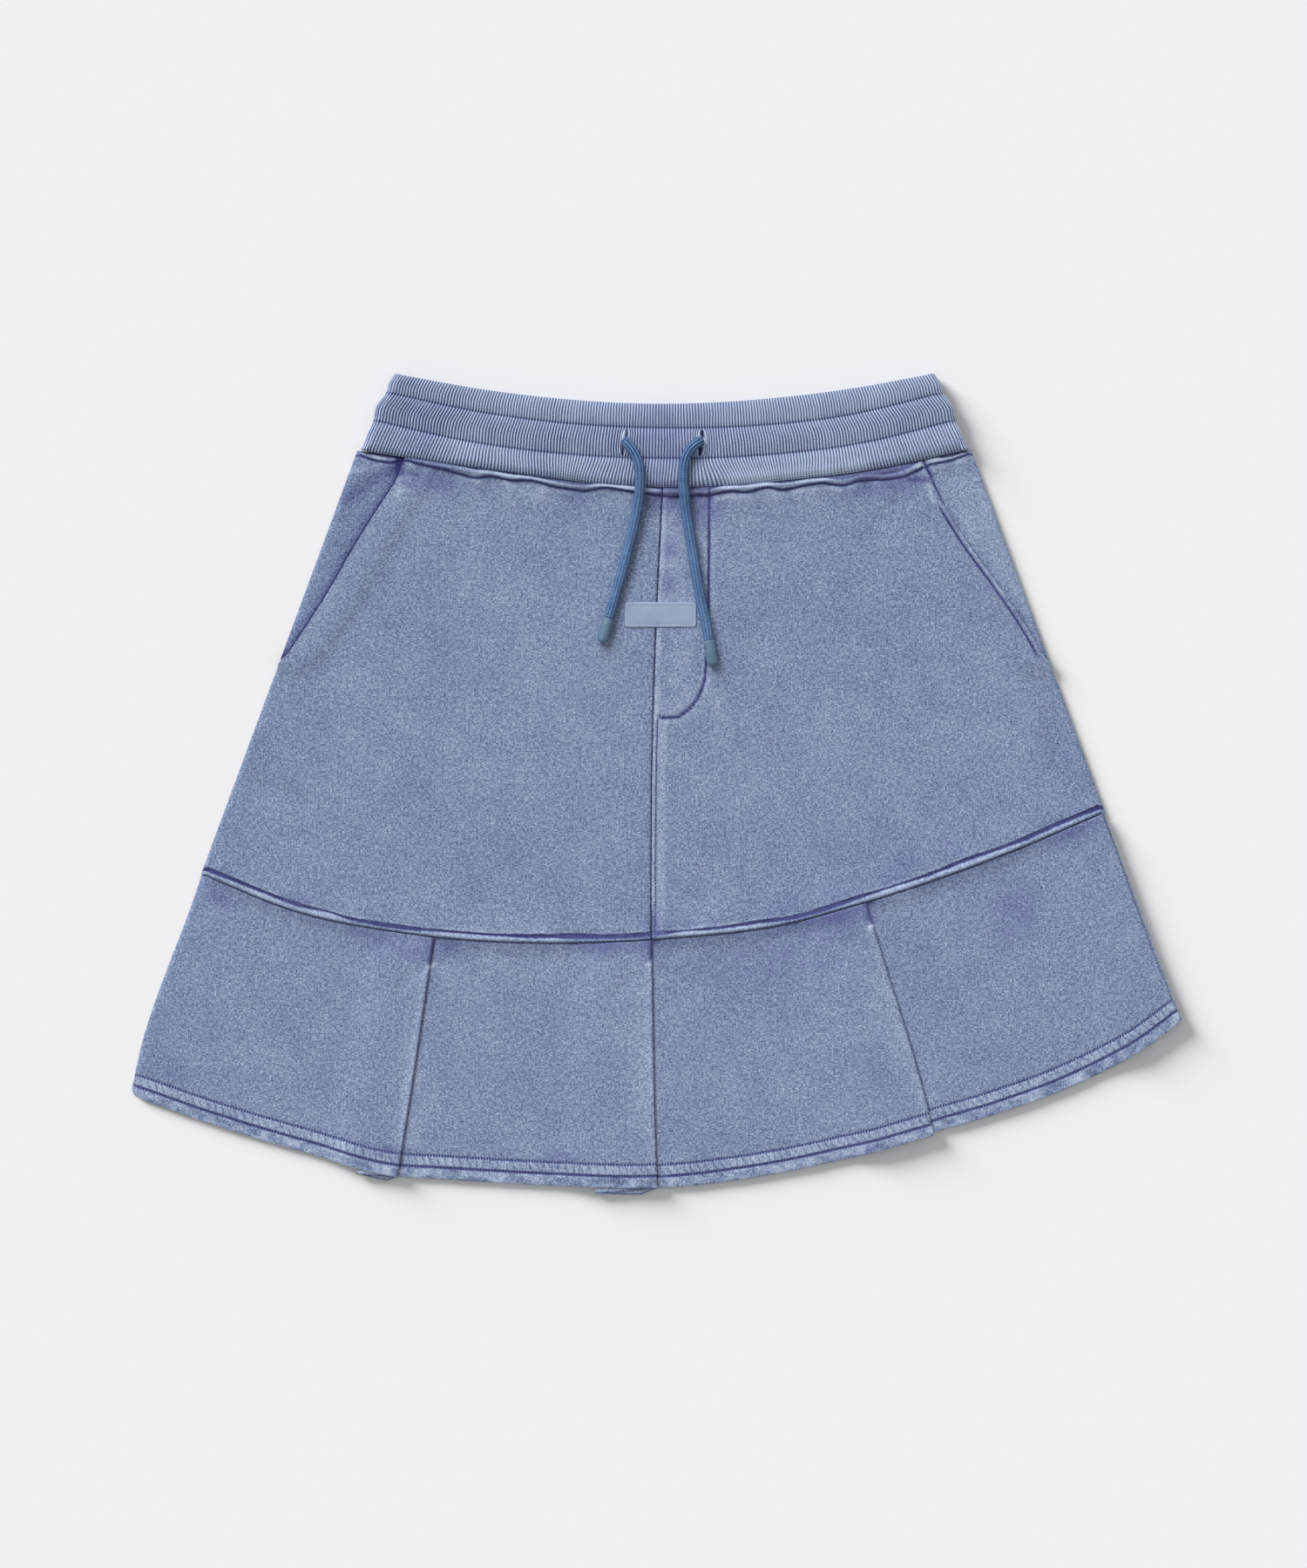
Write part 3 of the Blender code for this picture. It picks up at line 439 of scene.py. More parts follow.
def seam_sewing(s):
    """The stitched groove over the flounce seam, the pale roll below it and the line of the seam."""
    x = s.x
    away = (s.y - body_bottom(x)) / steep(seam, x)
    line, half, pale = groove_up(x), groove_half(x) * (1 + 0.2 * wander(x, 3, 53)), groove_pale(x)
    groove = smooth((half - np.abs(away - line)) / 0.5 + 0.6)
    inside = smooth((line - half - away) / 0.6 + 0.5) * smooth((away - 0.4) / 0.6)
    s.paint(inside, (0.56 * pale - 0.15) * (1 + 0.22 * wander(x, 3, 54) + 0.2 * wander(x, 11, 55)))
    s.paint(bump(away, 0.45), -0.25)
    s.paint(groove, -0.95)
    s.add(groove, height=-0.8, purple=0.15)
    s.add(inside, height=0.3)
    s.add(bump(away, 0.5), height=-0.6, purple=0.6)
    over = away - line - half
    above = smooth(over / 0.6 + 0.5) * bump(over, 4.5)
    s.add(above * wander(x - 0.3 * away, 5.5, 57), height=0.28, shade=0.12)
    s.add(above * bump(over - 1.2, 1.8) * smooth((pale - 0.6) / 0.3), shade=0.2)


def centre_front(s, away):
    """The stitched seam and, below the fly, the raised seam allowance right of it."""
    y = s.y
    low = step(y, 39, 36.5)
    mottle = 0.4 + 0.16 * wander(y, 2.8, 71) + 0.14 * wander(y, 14, 72)
    s.paint(bump(away - 1.35, 0.85, 4) * low, mottle)
    s.add(bump(away - 5.6, 2.8, 4) * low, shade=0.25)
    s.add(bump(away - 1.8, 1.3) * (1 - low), shade=0.3)
    s.paint(bump(away, 0.4), -0.8)
    s.paint(bump(away - FRONT_ROW, 0.4) * low, -0.55 + 0.2 * wander(y, 3, 73))
    s.add(bump(away - 1.5, 1.2, 4) * low, height=0.35, purple=-0.2)
    s.add(bump(away, 0.7), height=-0.4)
    s.add(bump(away - FRONT_ROW, 0.6) * low, height=-0.3, purple=0.4)
    s.paint(bump(away - 0.4, 1.3) * step(y, -68, -76), -0.85)


def fly(s):
    """The J of the mock fly: a stitched groove, raised and mottled inside, with a pale rim outside."""
    near = (s.x < FLY_AREA[0]) & (s.y > FLY_AREA[1])
    px, py = s.x[near], s.y[near]
    best, hand, place = np.full(px.shape, 99.0), np.zeros(px.shape), np.zeros(px.shape)
    line = even_points(FLY_LINE, FLY_POINTS)
    for i, (a, b) in enumerate(zip(line, line[1:])):
        d, t = near_segment(px, py, *a, *b)
        cross = (b[0] - a[0]) * (py - a[1]) - (b[1] - a[1]) * (px - a[0])
        closer = d < best
        best = np.where(closer, d, best)
        hand = np.where(closer, np.sign(-cross), hand)
        place = np.where(closer, i + t, place)
    away, inside, along = np.full(s.x.shape, 99.0), np.zeros(s.x.shape), np.zeros(s.x.shape)
    away[near], inside[near], along[near] = best, hand, place
    groove = bump(away, 0.7 + 0.15 * step(s.y, 62, 48), 4)
    within = smooth(away / 1.4) * (inside > 0)
    s.add(within, height=0.35, shade=0.08)
    s.add(within * clouds(s.x, s.y, 6, 83), shade=0.2, purple=0.3)
    s.paint(groove, -1.2 + 0.1 * wander(along, 3, 81))
    s.add(groove, height=-0.4, purple=0.3)
    rim = bump(away - 2.4, 1.7) * (inside < 0)
    s.add(rim * (0.7 + 0.4 * wander(along, 6, 82)), shade=0.3, height=0.1)
    s.add(bump(away, 5) * step(s.y, 130, 160), shade=-0.16, purple=0.6)
    s.add(bump(away - 1.8, 1.4) * within, shade=0.1)


def hem_sewing(s, up, along):
    """The turned hem: puckered strips above and below the stitched rows; up is from the hem."""
    (high_row, *_), (low_row, *_) = HEM_ROWS
    between = smooth((high_row - up) / 0.8) * smooth((up - low_row) / 0.8)
    lower = smooth((low_row - up) / 0.8)
    strip = 0.4 + 0.16 * clouds(along, up * 1.6, 3.4, 91) + 0.18 * clouds(along, up, 9, 92)
    edge = 0.16 + 0.5 * clouds(along, up * 1.3, 4.6, 98) + 0.3 * clouds(along, up * 1.2, 2.2, 97)
    s.paint(between * 0.85, strip)
    s.paint(lower * 0.9, edge)
    s.add(step(up, 14, 12.4), height=0.42)
    for place, wide, _ in HEM_ROWS:
        s.add(bump(up - place, wide), height=-0.5, purple=0.2)
    rope = wander(along + 0.9 * up, 3.4, 94) + 0.6 * wander(along + 0.5 * up, 9, 95)
    s.add(between * rope, height=0.22, shade=0.06)
    s.add(lower * wander(along - 0.8 * up, 4, 96), height=0.18, shade=0.08)
    s.add(bump(up, 0.9), shade=0.25)


def quads_of(index, closed_rows=False, closed_columns=False):
    """A grid's quads, as corner indices and as places, facing up where rows run down."""
    rows, columns = index.shape
    cells = np.indices((rows - 1 + closed_rows, columns - 1 + closed_columns)).transpose(1, 2, 0)
    places = (cells[:, :, None] + ((0, 0), (1, 0), (1, 1), (0, 1))).reshape(-1, 4, 2)
    return index[places[..., 0] % rows, places[..., 1] % columns], places


def add_mesh(name, points, faces, look, marks=None, corner_uv=None, sharp=False):
    """A mesh object from points in millimetres, with float marks on its points."""
    mesh = bpy.data.meshes.new(name)
    moved = (np.asarray(points, float) - (*CENTRE, 0)) * MM
    mesh.from_pydata(moved.tolist(), [], [list(map(int, f)) for f in faces])
    mesh.materials.append(look)
    layer = mesh.uv_layers.new(name="cloth")
    if corner_uv is None:
        loops = np.zeros(len(mesh.loops), np.int32)
        mesh.loops.foreach_get("vertex_index", loops)
        corner_uv = moved[loops, :2]
    layer.data.foreach_set("uv", np.asarray(corner_uv, np.float32).ravel())
    for key, values in (marks or {}).items():
        attribute = mesh.attributes.new(key, "FLOAT", "POINT")
        attribute.data.foreach_set("value", np.asarray(values, np.float32).ravel())
    mesh.shade_smooth()
    if sharp:
        mesh.set_sharp_from_angle(angle=math.radians(60))
    obj = bpy.data.objects.new(name, mesh)
    bpy.context.scene.collection.objects.link(obj)
    return obj


def shell(name, outer, inner, marks, look, skip=4):
    """A closed wall: a fine outer face, a coarser inner face and the rims between them."""
    rows, columns = outer.shape[:2]
    keep_r = [*range(0, rows - 1, skip), rows - 1]
    keep_c = [*range(0, columns - 1, skip), columns - 1]
    kept = np.ix_(keep_r, keep_c)
    index = np.arange(rows * columns).reshape(rows, columns)
    under = rows * columns + np.arange(index[kept].size).reshape(index[kept].shape)
    faces = quads_of(index)[0].tolist() + quads_of(under)[0][:, ::-1].tolist()
    for j, (a, b) in enumerate(zip(keep_c, keep_c[1:])):
        faces.append([*index[0, a : b + 1], under[0, j + 1], under[0, j]])
        faces.append([*index[-1, a : b + 1][::-1], under[-1, j], under[-1, j + 1]])
    for i, (a, b) in enumerate(zip(keep_r, keep_r[1:])):
        faces.append([*index[a : b + 1, 0][::-1], under[i, 0], under[i + 1, 0]])
        faces.append([*index[a : b + 1, -1], under[i + 1, -1], under[i, -1]])
    points = np.concatenate([outer.reshape(-1, 3), inner[kept].reshape(-1, 3)])
    marks = {key: np.broadcast_to(v, (rows, columns)) for key, v in marks.items()}
    marks = {key: np.concatenate([v.ravel(), v[kept].ravel()]) for key, v in marks.items()}
    return add_mesh(name, points, faces, look, marks, sharp=True)


def edge_columns(profile, edge_x, edge_y, hand):
    """Columns of points along a piece's edge, from a profile of (inwards, height)."""
    return np.stack([placed(edge_x - hand * d, edge_y, h) for d, h in profile], axis=1)


def with_side(name, hand, sides, flats, marks, look):
    """A shell from the columns of a piece's side edge and its flat grids, mirrored at the right."""
    count = sides[0].shape[1]
    grids = [np.concatenate(pair, axis=1)[:, ::-hand] for pair in zip(sides, flats)]
    marks = {key: np.pad(v, ((0, 0), (count, 0)), "edge")[:, ::-hand] for key, v in marks.items()}
    return shell(name, *grids, marks, look)


# steps of the rolled side edges, of the fronts and facings, of the backs and of the flounce
EDGE_STEPS = 6
SLAB_EDGE_STEPS = 5
ROLL_STATIONS = 5
SLAB_COLUMNS = 90
# distances of rows from a sewn end and from the hem, closer together near them
ROWS_AT_SEAM = np.array([*np.arange(0, 8.4, 0.4), 9.2, 10.4, 12])
LAST_ROWS = (5.2, 4.6, 4, 3.3, 2.6, 1.9, 1.3, 0.9, 0.55, 0.25, 0.08, 0)
ROWS_AT_HEM = np.array([17, 16, 15.2, 14.5, *np.arange(14, 5.4, -0.45), *LAST_ROWS])
# step of the rows and columns between, and about how long the pieces are
BODY_STEP = 1.5
FRONT_LONG = 216
FLOUNCE_LONG = 116
# places of a front's columns from its side edge, over a width that stands for 1
FRONT_WIDE = 150
EDGE_COLUMNS = (0, 0.35, 0.7, 1.1, 1.5, 1.9, 2.3, 2.7, 3.1, 3.5, 4, 4.8, 6)
FIRST_MIDDLE = 7.5
# where the columns get finer towards the centre front, and their step there
FINE_COLUMNS = {-1: (143, 1), 1: (114, 0.62)}
LAST_MIDDLE = 144.6
LAST_COLUMNS = np.array([*np.arange(144.7, FRONT_WIDE, 0.4), FRONT_WIDE])
FACING_ROWS = 66
FACING_COLUMNS = 56
# how round the flounce's corners at the hem are, left and right
CORNERS = (4.5, 2.5)
CORNER_REACH = 12


def rolled_edge():
    """Outer and inner points of the wall rolling down to the surface, as (inwards, height)."""
    angles = np.linspace(0, math.pi / 2, EDGE_STEPS + 1)[:-1]
    return [[(ROLL - r * math.cos(a), r * math.sin(a)) for a in angles] for r in (ROLL, LEVEL_0)]


def rows_down(long, rows_at_end, about):
    """Shares of the way down for a piece's rows, about so long and closer together at both its ends."""
    first, last = ROWS_AT_SEAM[:, None] / long, 1 - rows_at_end[:, None] / long
    share = np.linspace(0, 1, int(about / BODY_STEP))[1:-1, None]
    return np.concatenate([first, mix(first[-1], last[0], share), last])


def filled(top, bottom, left, right, s, t):
    """A grid between four edges, each across and up, at shares s of the way across and t down."""
    grid = []
    for above, below, first, last in zip(top, bottom, left, right):
        corners = mix(mix(above[0], below[0], t), mix(above[-1], below[-1], t), s)
        grid.append(mix(above, below, t) + mix(first, last, s) - corners)
    return grid


def front_panel(name, hand, look):
    """A front panel; hand is -1 for the panel at the left and 1 for the one at the right."""
    pocket = pockets[hand > 0]
    top_up = meeting(body_top, lambda y: pocket(y) - hand * CLOTH)
    seam_up = corner(body_bottom, hand)

    def edge_at(y):
        meets = step(y, POCKET_END, POCKET_MEETS_SIDE)
        return mix(pocket(np.maximum(y, POCKET_MEETS_SIDE)), side(y, hand), meets)

    def run_out_at(y):
        return smooth((ROLL_STARTS - y) / ROLL_LENGTH)

    def left_at(t):
        y = mix(top_up, seam_up, t)
        return edge_at(y) - hand * mix(CLOTH, ROLL, run_out_at(y)), y

    fine_from, fine_step = FINE_COLUMNS[hand]
    middle = (np.arange(FIRST_MIDDLE, fine_from, BODY_STEP), np.arange(fine_from, LAST_MIDDLE, fine_step))
    s = np.concatenate([EDGE_COLUMNS, *middle, LAST_COLUMNS]) / FRONT_WIDE
    middle_top, middle_bottom = (front_seam(y) + hand * SEAM_GAP / 2 for y in (waist(4), seam_up))
    top_x, bottom_x = mix(left_at(0)[0], middle_top, s), mix(left_at(1)[0], middle_bottom, s)
    top_y, bottom_y = body_top(top_x), body_bottom(bottom_x)
    t = rows_down(np.hypot(bottom_x - top_x, bottom_y - top_y), ROWS_AT_SEAM[::-1], FRONT_LONG)
    right_y = mix(top_y[-1], bottom_y[-1], t)
    right_x = front_seam(right_y) + hand * SEAM_GAP / 2
    right_x = right_x + mix(middle_top - right_x[0, -1], middle_bottom - right_x[-1, -1], t)
    x, y = filled((top_x, top_y), (bottom_x, bottom_y), left_at(t), (right_x, right_y), s, t)

    from_edge = np.abs(x - edge_at(y))
    over_facing = 1 - smooth((from_edge - FACING_UNDER - FACING_REST) / FACING_SLOPE)
    over_facing = over_facing * (1 - run_out_at(y))
    from_waist = (body_top(x) - y) / steep(waist, x)
    from_seam = (y - body_bottom(x)) / steep(seam, x)
    from_front = np.abs(x - front_seam(y))
    fade = step(from_edge, *RIDGE_FADE)
    rise, thick = (np.maximum(ridge(from_waist, v), ridge(from_seam, v)) for v in ridge_curves)
    base = LEVEL_0 + np.maximum((LEVEL_1 - LEVEL_0) * over_facing, rise * fade)

    sheet = Surface(x, y)
    inset = from_edge / np.hypot(1, np.abs(edge_at(y + 0.5) - edge_at(y - 0.5)))
    open_edge = step(y, 70, 77)
    if hand < 0:
        sheet.paint(bump(inset, 0.45) * open_edge, -0.6)
        sheet.add(bump(inset - 3.2, 3.2) * open_edge * (0.7 + 0.3 * wander(y, 9, 61)), shade=0.16)
        sheet.add(step(y, 150, 170) * bump(inset - 5, 6), shade=0.12)
    else:
        welt = step(y, 162, 154) * open_edge
        tone = 0.16 + 0.16 * wander(y, 2.6, 62) + 0.12 * wander(y, 8, 63)
        sheet.paint(bump(inset - 1.3, 0.85, 4) * welt, tone - 0.25 * bump(inset - 1.5, 0.35))
        sheet.paint(bump(inset, 0.42) * open_edge * (0.8 + 0.3 * wander(y, 1.3, 64)), -0.85)
        sheet.paint(bump(inset - 2.8, 0.7, 4) * welt, -1.1)
        sheet.add(bump(inset - 2.8, 0.7) * welt, height=-0.35, purple=0.3)
        sheet.add(bump(inset - 1.4, 1.1, 4) * welt, height=0.2)
        sheet.add(bump(inset - 6, 3) * welt * step(y, 158, 128), shade=0.03, purple=0.2)
    waist_sewing(sheet, smooth(inset / 1.5))
    seam_sewing(sheet)
    if hand > 0:
        centre_front(sheet, from_front)
        fly(sheet)
    else:
        sheet.paint(bump(from_front, 0.35), -0.6)
        sheet.add(bump(from_front, 0.7), height=-0.5)
        sheet.add(bump(from_front - 3, 2.5), shade=-0.05)
    height = base + CLOTH + thick * fade + sheet.height * smooth(from_edge / 2.5)
    height = height - rounded(np.minimum(np.minimum(from_waist + 0.4, from_seam), from_front))

    edge_y = mix(top_up, seam_up, t[:, 0])
    run_out = run_out_at(edge_y)
    angles = np.linspace(0, 1.35, EDGE_STEPS)
    turned_out = [(1.2 - 1.2 * math.sin(a), 0.25 + 0.95 * math.sin(a + 0.2)) for a in angles]
    turned_in = [(0.3 + 0.9 * i / EDGE_STEPS, 0) for i in range(EDGE_STEPS)]
    sides = []
    for turned, rolled in zip((turned_out, turned_in), rolled_edge()):
        pairs = [(*flat, *down) for flat, down in zip(turned, rolled)]
        profile = [(mix(d, to, run_out), mix(base[:, 0] + h, low, run_out)) for d, h, to, low in pairs]
        sides.append(edge_columns(profile, edge_at(edge_y), edge_y, hand))
    flats = (placed(x, y, height), placed(x, y, base))
    return with_side(name, hand, sides, flats, sheet.marks(), look)


def pocket_facing(name, hand, look):
    """The hip piece that shows between the pocket edge and the side, and ends under the front."""
    pocket = pockets[hand > 0]
    top_up = corner(body_top, hand)
    lower_rows = np.linspace(top_up - ROWS_AT_SEAM[-1] - BODY_STEP, FACING_END, FACING_ROWS)
    up = np.concatenate([top_up - ROWS_AT_SEAM, lower_rows])[:, None]
    edge = side(up, hand)
    start = edge - hand * ROLL
    x = mix(start, pocket(up) - hand * FACING_UNDER, np.linspace(0, 1, FACING_COLUMNS))
    y = up + smooth((up - (top_up - 30)) / 30) * (body_top(x) - body_top(start))
    from_waist = (body_top(x) - y) / steep(waist, x)
    near = hand * (x - pocket(y))
    over, seen = np.maximum(near, 0), near > -1
    sheet = Surface(x, y)
    waist_sewing(sheet, step(near, -1, 1))
    # painted shadow of the front's edge on the facing, with wash colour: a soft dark band and a dark line
    # beside the pocket's edge
    deep, line, violet, plain = (0.4, -1.15, -0.5, -0.14) if hand < 0 else (0.2, -0.5, 0.12, 0.16)
    sheet.add(bump(near, 4.5) * seen, shade=-deep, purple=violet)
    sheet.paint(bump(near, 1) * seen, line)
    sheet.add(seen, shade=plain)
    if hand < 0:
        sheet.add(bump(near, 9) * step(y, 150, 175), height=-0.2)
    rise = 0.7 * bump(from_waist - 3, 5) * smooth(over / 6)
    height = LEVEL_0 + CLOTH + rise + sheet.height * smooth(over / 4) * 0.8 - rounded(from_waist)
    height = np.minimum(height, LEVEL_1 - 0.12 + 3 * smooth(over / 3))
    sides = [edge_columns(profile, edge[:, 0], y[:, 0], hand) for profile in rolled_edge()]
    flats = (placed(x, y, height), placed(x, y, LEVEL_0))
    return with_side(name, hand, sides, flats, sheet.marks(), look)


def body_side(hand, down):
    """The body's silhouette on one side, at shares of the way down."""
    y = mix(corner(body_top, hand), corner(body_bottom, hand), down)
    return side(y, hand), y


def bowed(down):
    return 6.75 * down * down * (1 - down)


def flounce_side(hand, down):
    """The flounce's silhouette on one side, at shares of the way down."""
    at_seam, at_hem, bow = FLOUNCE_SIDES[hand > 0]
    first, last = flounce_top(at_seam - hand * ROLL), hem(at_hem - hand * ROLL)
    y = mix(first, last + BACK_SHORT, down)
    share = (first - y) / (first - last)
    return mix(at_seam, at_hem, share) + bow * bowed(share), y


def slab(name, side_at, top, bottom, count, look, corners=None):
    """A flat back piece with rounded side edges, plain, a little uneven on its upper side."""
    s, t = np.linspace(0, 1, SLAB_COLUMNS), np.linspace(0, 1, count)[:, None]
    (left_x, left_y), (right_x, right_y) = side_at(-1, t), side_at(1, t)
    start, finish = left_x + ROLL, right_x - ROLL
    top_x, bottom_x = mix(start[0], finish[0], s), mix(start[-1], finish[-1], s)
    ends = ((top_x, top(top_x)), (bottom_x, bottom(bottom_x)))
    x, y = filled(*ends, (start, left_y), (finish, right_y), s, t)
    edge_away = np.minimum(top(x) - y, y - bottom(x))
    shade = 0.07 * clouds(x, y, 30, 14) - 0.5 * bump(edge_away, 1.2) + 0.3 * bump(edge_away - 3, 1.2)
    if corners:
        near_hem = np.clip(1 - (y - bottom(x)) / CORNER_REACH, 0, 1)
        y = y + (rounded(x - left_x, corners[0]) + rounded(right_x - x, corners[1])) * near_hem
    angles = np.radians(np.linspace(8, 84, SLAB_EDGE_STEPS))
    upper = [(ROLL - CLOTH * math.cos(a), CLOTH * math.sin(a)) for a in angles]
    under = [(LEVEL_0 + 0.08 + 0.2 * i, 0) for i in range(SLAB_EDGE_STEPS)]
    grids = []
    for profile, height in ((upper, CLOTH), (under, 0)):
        first = edge_columns(profile, left_x[:, 0], y[:, 0], -1)
        last = edge_columns(profile[::-1], right_x[:, 0], y[:, -1], 1)
        grids.append(np.concatenate([first, placed(x, y, height), last], axis=1))
    marks = {"shade": shade, "purple": 0.2 * bump(edge_away, 6)}
    more = ((0, 0), (SLAB_EDGE_STEPS, SLAB_EDGE_STEPS))
    marks = {key: np.clip(np.pad(v, more, "edge"), -1, 1) for key, v in marks.items()}
    return shell(name, *grids, marks, look, skip=1)


def flounce_stations():
    """The folded strip's middle line from left to right, as in the part but finer.

    A station is (x at the seam, x at the hem, bow, height, normal x, normal z, hem drop, shift, shown).
    """
    low, mid, high = (level + CLOTH / 2 for level in (LEVEL_0, LEVEL_1, LEVEL_2))
    bend = (CLOTH + GAP) / 2
    turn = bend + CLOTH / 2
    stations = []

    def add(place, up, normal=(0, 1), drop=0, shift=0, shown=0):
        stations.append((*place, up, *normal, drop, shift, shown))

    def turned(place, middle, radius, degrees, facing=1, drop=0, seen=0):
        for a in np.radians(degrees):
            c, s = math.cos(a), math.sin(a)
            add(place, middle + radius * s, (facing * c, facing * s), drop, radius * c, seen * max(0, s))

    def beside(place, across):
        return np.add(place, (across, across, 0))

    last = beside(FLOUNCE_SIDES[0], ROLL)
    turned(last, 0, ROLL - CLOTH / 2, np.linspace(180, 90, ROLL_STATIONS + 1)[:-1])
    for number, (fold_seam, fold_hem, bow, deep_seam, deep_hem, drop, fold_drop) in enumerate(PLEATS):
        fold = (fold_seam, fold_hem, bow)
        back = (fold_seam - deep_seam, fold_hem - deep_hem, bow)
        ramp_end, ramp = beside(back, -1.5), beside(back, -1.5 - PLEAT_RAMP)
        crest, inner_fold = beside(fold, -turn), beside(back, turn)
        for u in np.linspace(0, 1, max(3, int((ramp[0] - last[0]) / 1.9))):
            place = mix(last, ramp, u)
            add(place, low, shown=smooth((place[0] - last[0]) / 3))
        for u in np.linspace(0, 1, 13)[1:]:
            add(mix(ramp, ramp_end, u), mix(low, high, smooth(u)), drop=fold_drop * u / 2, shown=1)
        for u in np.linspace(0, 1, int((crest[0] - ramp_end[0]) / 1.3))[1:-1]:
            eased = 1 - (1 - u) ** 1.7
            add(mix(ramp_end, crest, eased), high, drop=fold_drop * mix(0.5, 1, eased), shown=1)
        turned(crest, (high + mid) / 2, bend, np.linspace(90, -90, 9), drop=fold_drop, seen=1)
        for u in (0.25, 0.5, 0.75):
            add(mix(crest, inner_fold, u), mid, (0, -1), mix(fold_drop, drop, u))
        turned(inner_fold, (mid + low) / 2, bend, np.linspace(90, 270, 7), -1, drop)
        for u in (0.25, 0.5, 0.75, 0.9):
            add(mix(inner_fold, beside(fold, -0.6), u), low, drop=drop * smooth((1 - u) * 4))
        if number < len(PLEATS) - 1:
            for reach in (0.2, 0.7, 1.2, 1.8, 2.5):
                add(beside(fold, reach), low)
            last = beside(fold, 3.3)
    last = beside(FLOUNCE_SIDES[1], -ROLL)
    add(last, low)
    turned(last, 0, ROLL - CLOTH / 2, np.linspace(90, 0, ROLL_STATIONS + 1)[1:])
    return np.array(stations, float)


def flounce_front(look):
    """One strip of cloth in three front knife pleats and a side pleat."""
    stations = flounce_stations()
    seam_x, hem_x, bow, up, normal_x, normal_z, drop, shift, shown = stations.T
    rolled = np.zeros(len(stations), bool)
    rolled[:ROLL_STATIONS] = rolled[-ROLL_STATIONS:] = True
    grids = []
    for half in (-CLOTH / 2, CLOTH / 2):
        out = shift + half * normal_x
        level = np.where(rolled, 0, out)
        top_x, top_y = seam_x + out, flounce_top(seam_x + level)
        low_x, low_y = hem_x + out, hem(hem_x + level) - drop
        long = np.hypot(low_x - top_x, low_y - top_y)
        t = rows_down(long, ROWS_AT_HEM, FLOUNCE_LONG)
        x, y = mix(top_x, low_x, t) + bow * bowed(t), mix(top_y, low_y, t)
        ends = rounded(x - x[:, :1], CORNERS[0]) + rounded(x[:, -1:] - x, CORNERS[1])
        y = y + ends * np.clip(1 - (1 - t) * long / CORNER_REACH, 0, 1)
        grids.append(placed(x, y, up + half * normal_z))
    from_top, from_hem = t * long, (1 - t) * long
    along = run_of(grids[1][-1])
    sheet = Surface(x, y)
    sheet.paint(bump(from_top, 0.5), -0.1)
    sheet.add(bump(from_top, 3), shade=-0.05, purple=0.3)
    sheet.add(bump(from_top, 11) * wander(seam_x, 6, 101), height=0.3, shade=0.07)
    high = up > LEVEL_1 + CLOTH / 2 + 0.1
    for k, (fold_seam, fold_hem, fold_bow, *_) in enumerate(PLEATS):
        right = x - mix(fold_seam, fold_hem, t) - fold_bow * bowed(t)
        left = -right
        before = high & (np.abs(seam_x - fold_seam) < PLEAT_REACH)
        after = ~high & (right > -0.5) & (right < PLEAT_REACH)
        if k == len(PLEATS) - 1:
            # the side pleat: a dark line along its fold, painted shadow with navy wash, and beyond it
            # painted light that lifts the shade on the rolled side
            sheet.paint(before * bump(left, 0.5), -0.4)
            sheet.paint(after * bump(right, 0.6, 4), -0.9)
            sheet.add(after * smooth((right - 0.7) / 0.5), shade=0.3)
            continue
        sewn_to, fold_wash_and_highlight, painted_light_beside_fold = PLEAT_SEWN[k]
        sewn = smooth((sewn_to - from_top) / 1.5)
        lift = 0.8 + 0.2 * wander(y, 12, 110 + k)
        # wash and painted highlight: the upper layer is made paler along the fold's edge
        sheet.add(before * bump(left - 2.2, 2.2) * (1 - sewn) * lift, shade=fold_wash_and_highlight)
        # at the fold, a thin dark line on its edge and just right of it, painted shadow with navy wash;
        # beside it, painted light that lifts the fold's cast shadow, then a faint painted shade with
        # purple wash
        sheet.paint(before * bump(left, 0.3), -0.1)
        sheet.paint(after * bump(right, 0.4), -0.3)
        sheet.add(after * bump(right - 1.2, 1.2), shade=painted_light_beside_fold)
        sheet.add(after * bump(right, 3), shade=-0.02, purple=0.15)
        sheet.paint(before * sewn * bump(left, 1 + 0.3 * wander(y, 2.2, 120 + k)), -0.85)
        sheet.add((before * bump(left, 2) + after * bump(right, 2)) * sewn, height=-0.9)
        sheet.add((before * bump(left, 5) + after * bump(right, 3)) * sewn, shade=-0.16, purple=0.5)
        sheet.add(before * bump(left, 4) * bump(from_top - sewn_to, 3), shade=0.12, height=-0.3)
    hem_sewing(sheet, from_hem, along)
    tab = (drop > 0.5) & (shown < 0.1)
    # the lower layer's hem showing below a fold: pale like the washed hem, and painted lighter against
    # the shade under the front's hem
    sheet.add(tab * 0.5, shade=1)
    sheet.paint(tab * bump(from_hem - 0.3, 0.5), -0.7)
    lift = 1.3 * bump(from_top, 5) * smooth((LEVEL_2 + CLOTH / 2 - up) / (LEVEL_2 - LEVEL_0))
    relief = (sheet.height + lift - rounded(from_top, 0.6)) * shown - rounded(from_hem, 1.5) * 0.62
    outer = grids[1] + placed(relief * normal_x, 0, relief * normal_z)
    marks = sheet.marks(up=np.minimum(from_hem, 40), along=along)
    obj = shell("flounce_front_cloth", outer, grids[0], marks, look, skip=3)
    rows = [outer[int(np.argmin(np.abs(from_hem[:, 50] - place)))] for place, *_ in HEM_ROWS]
    return obj, rows, shown


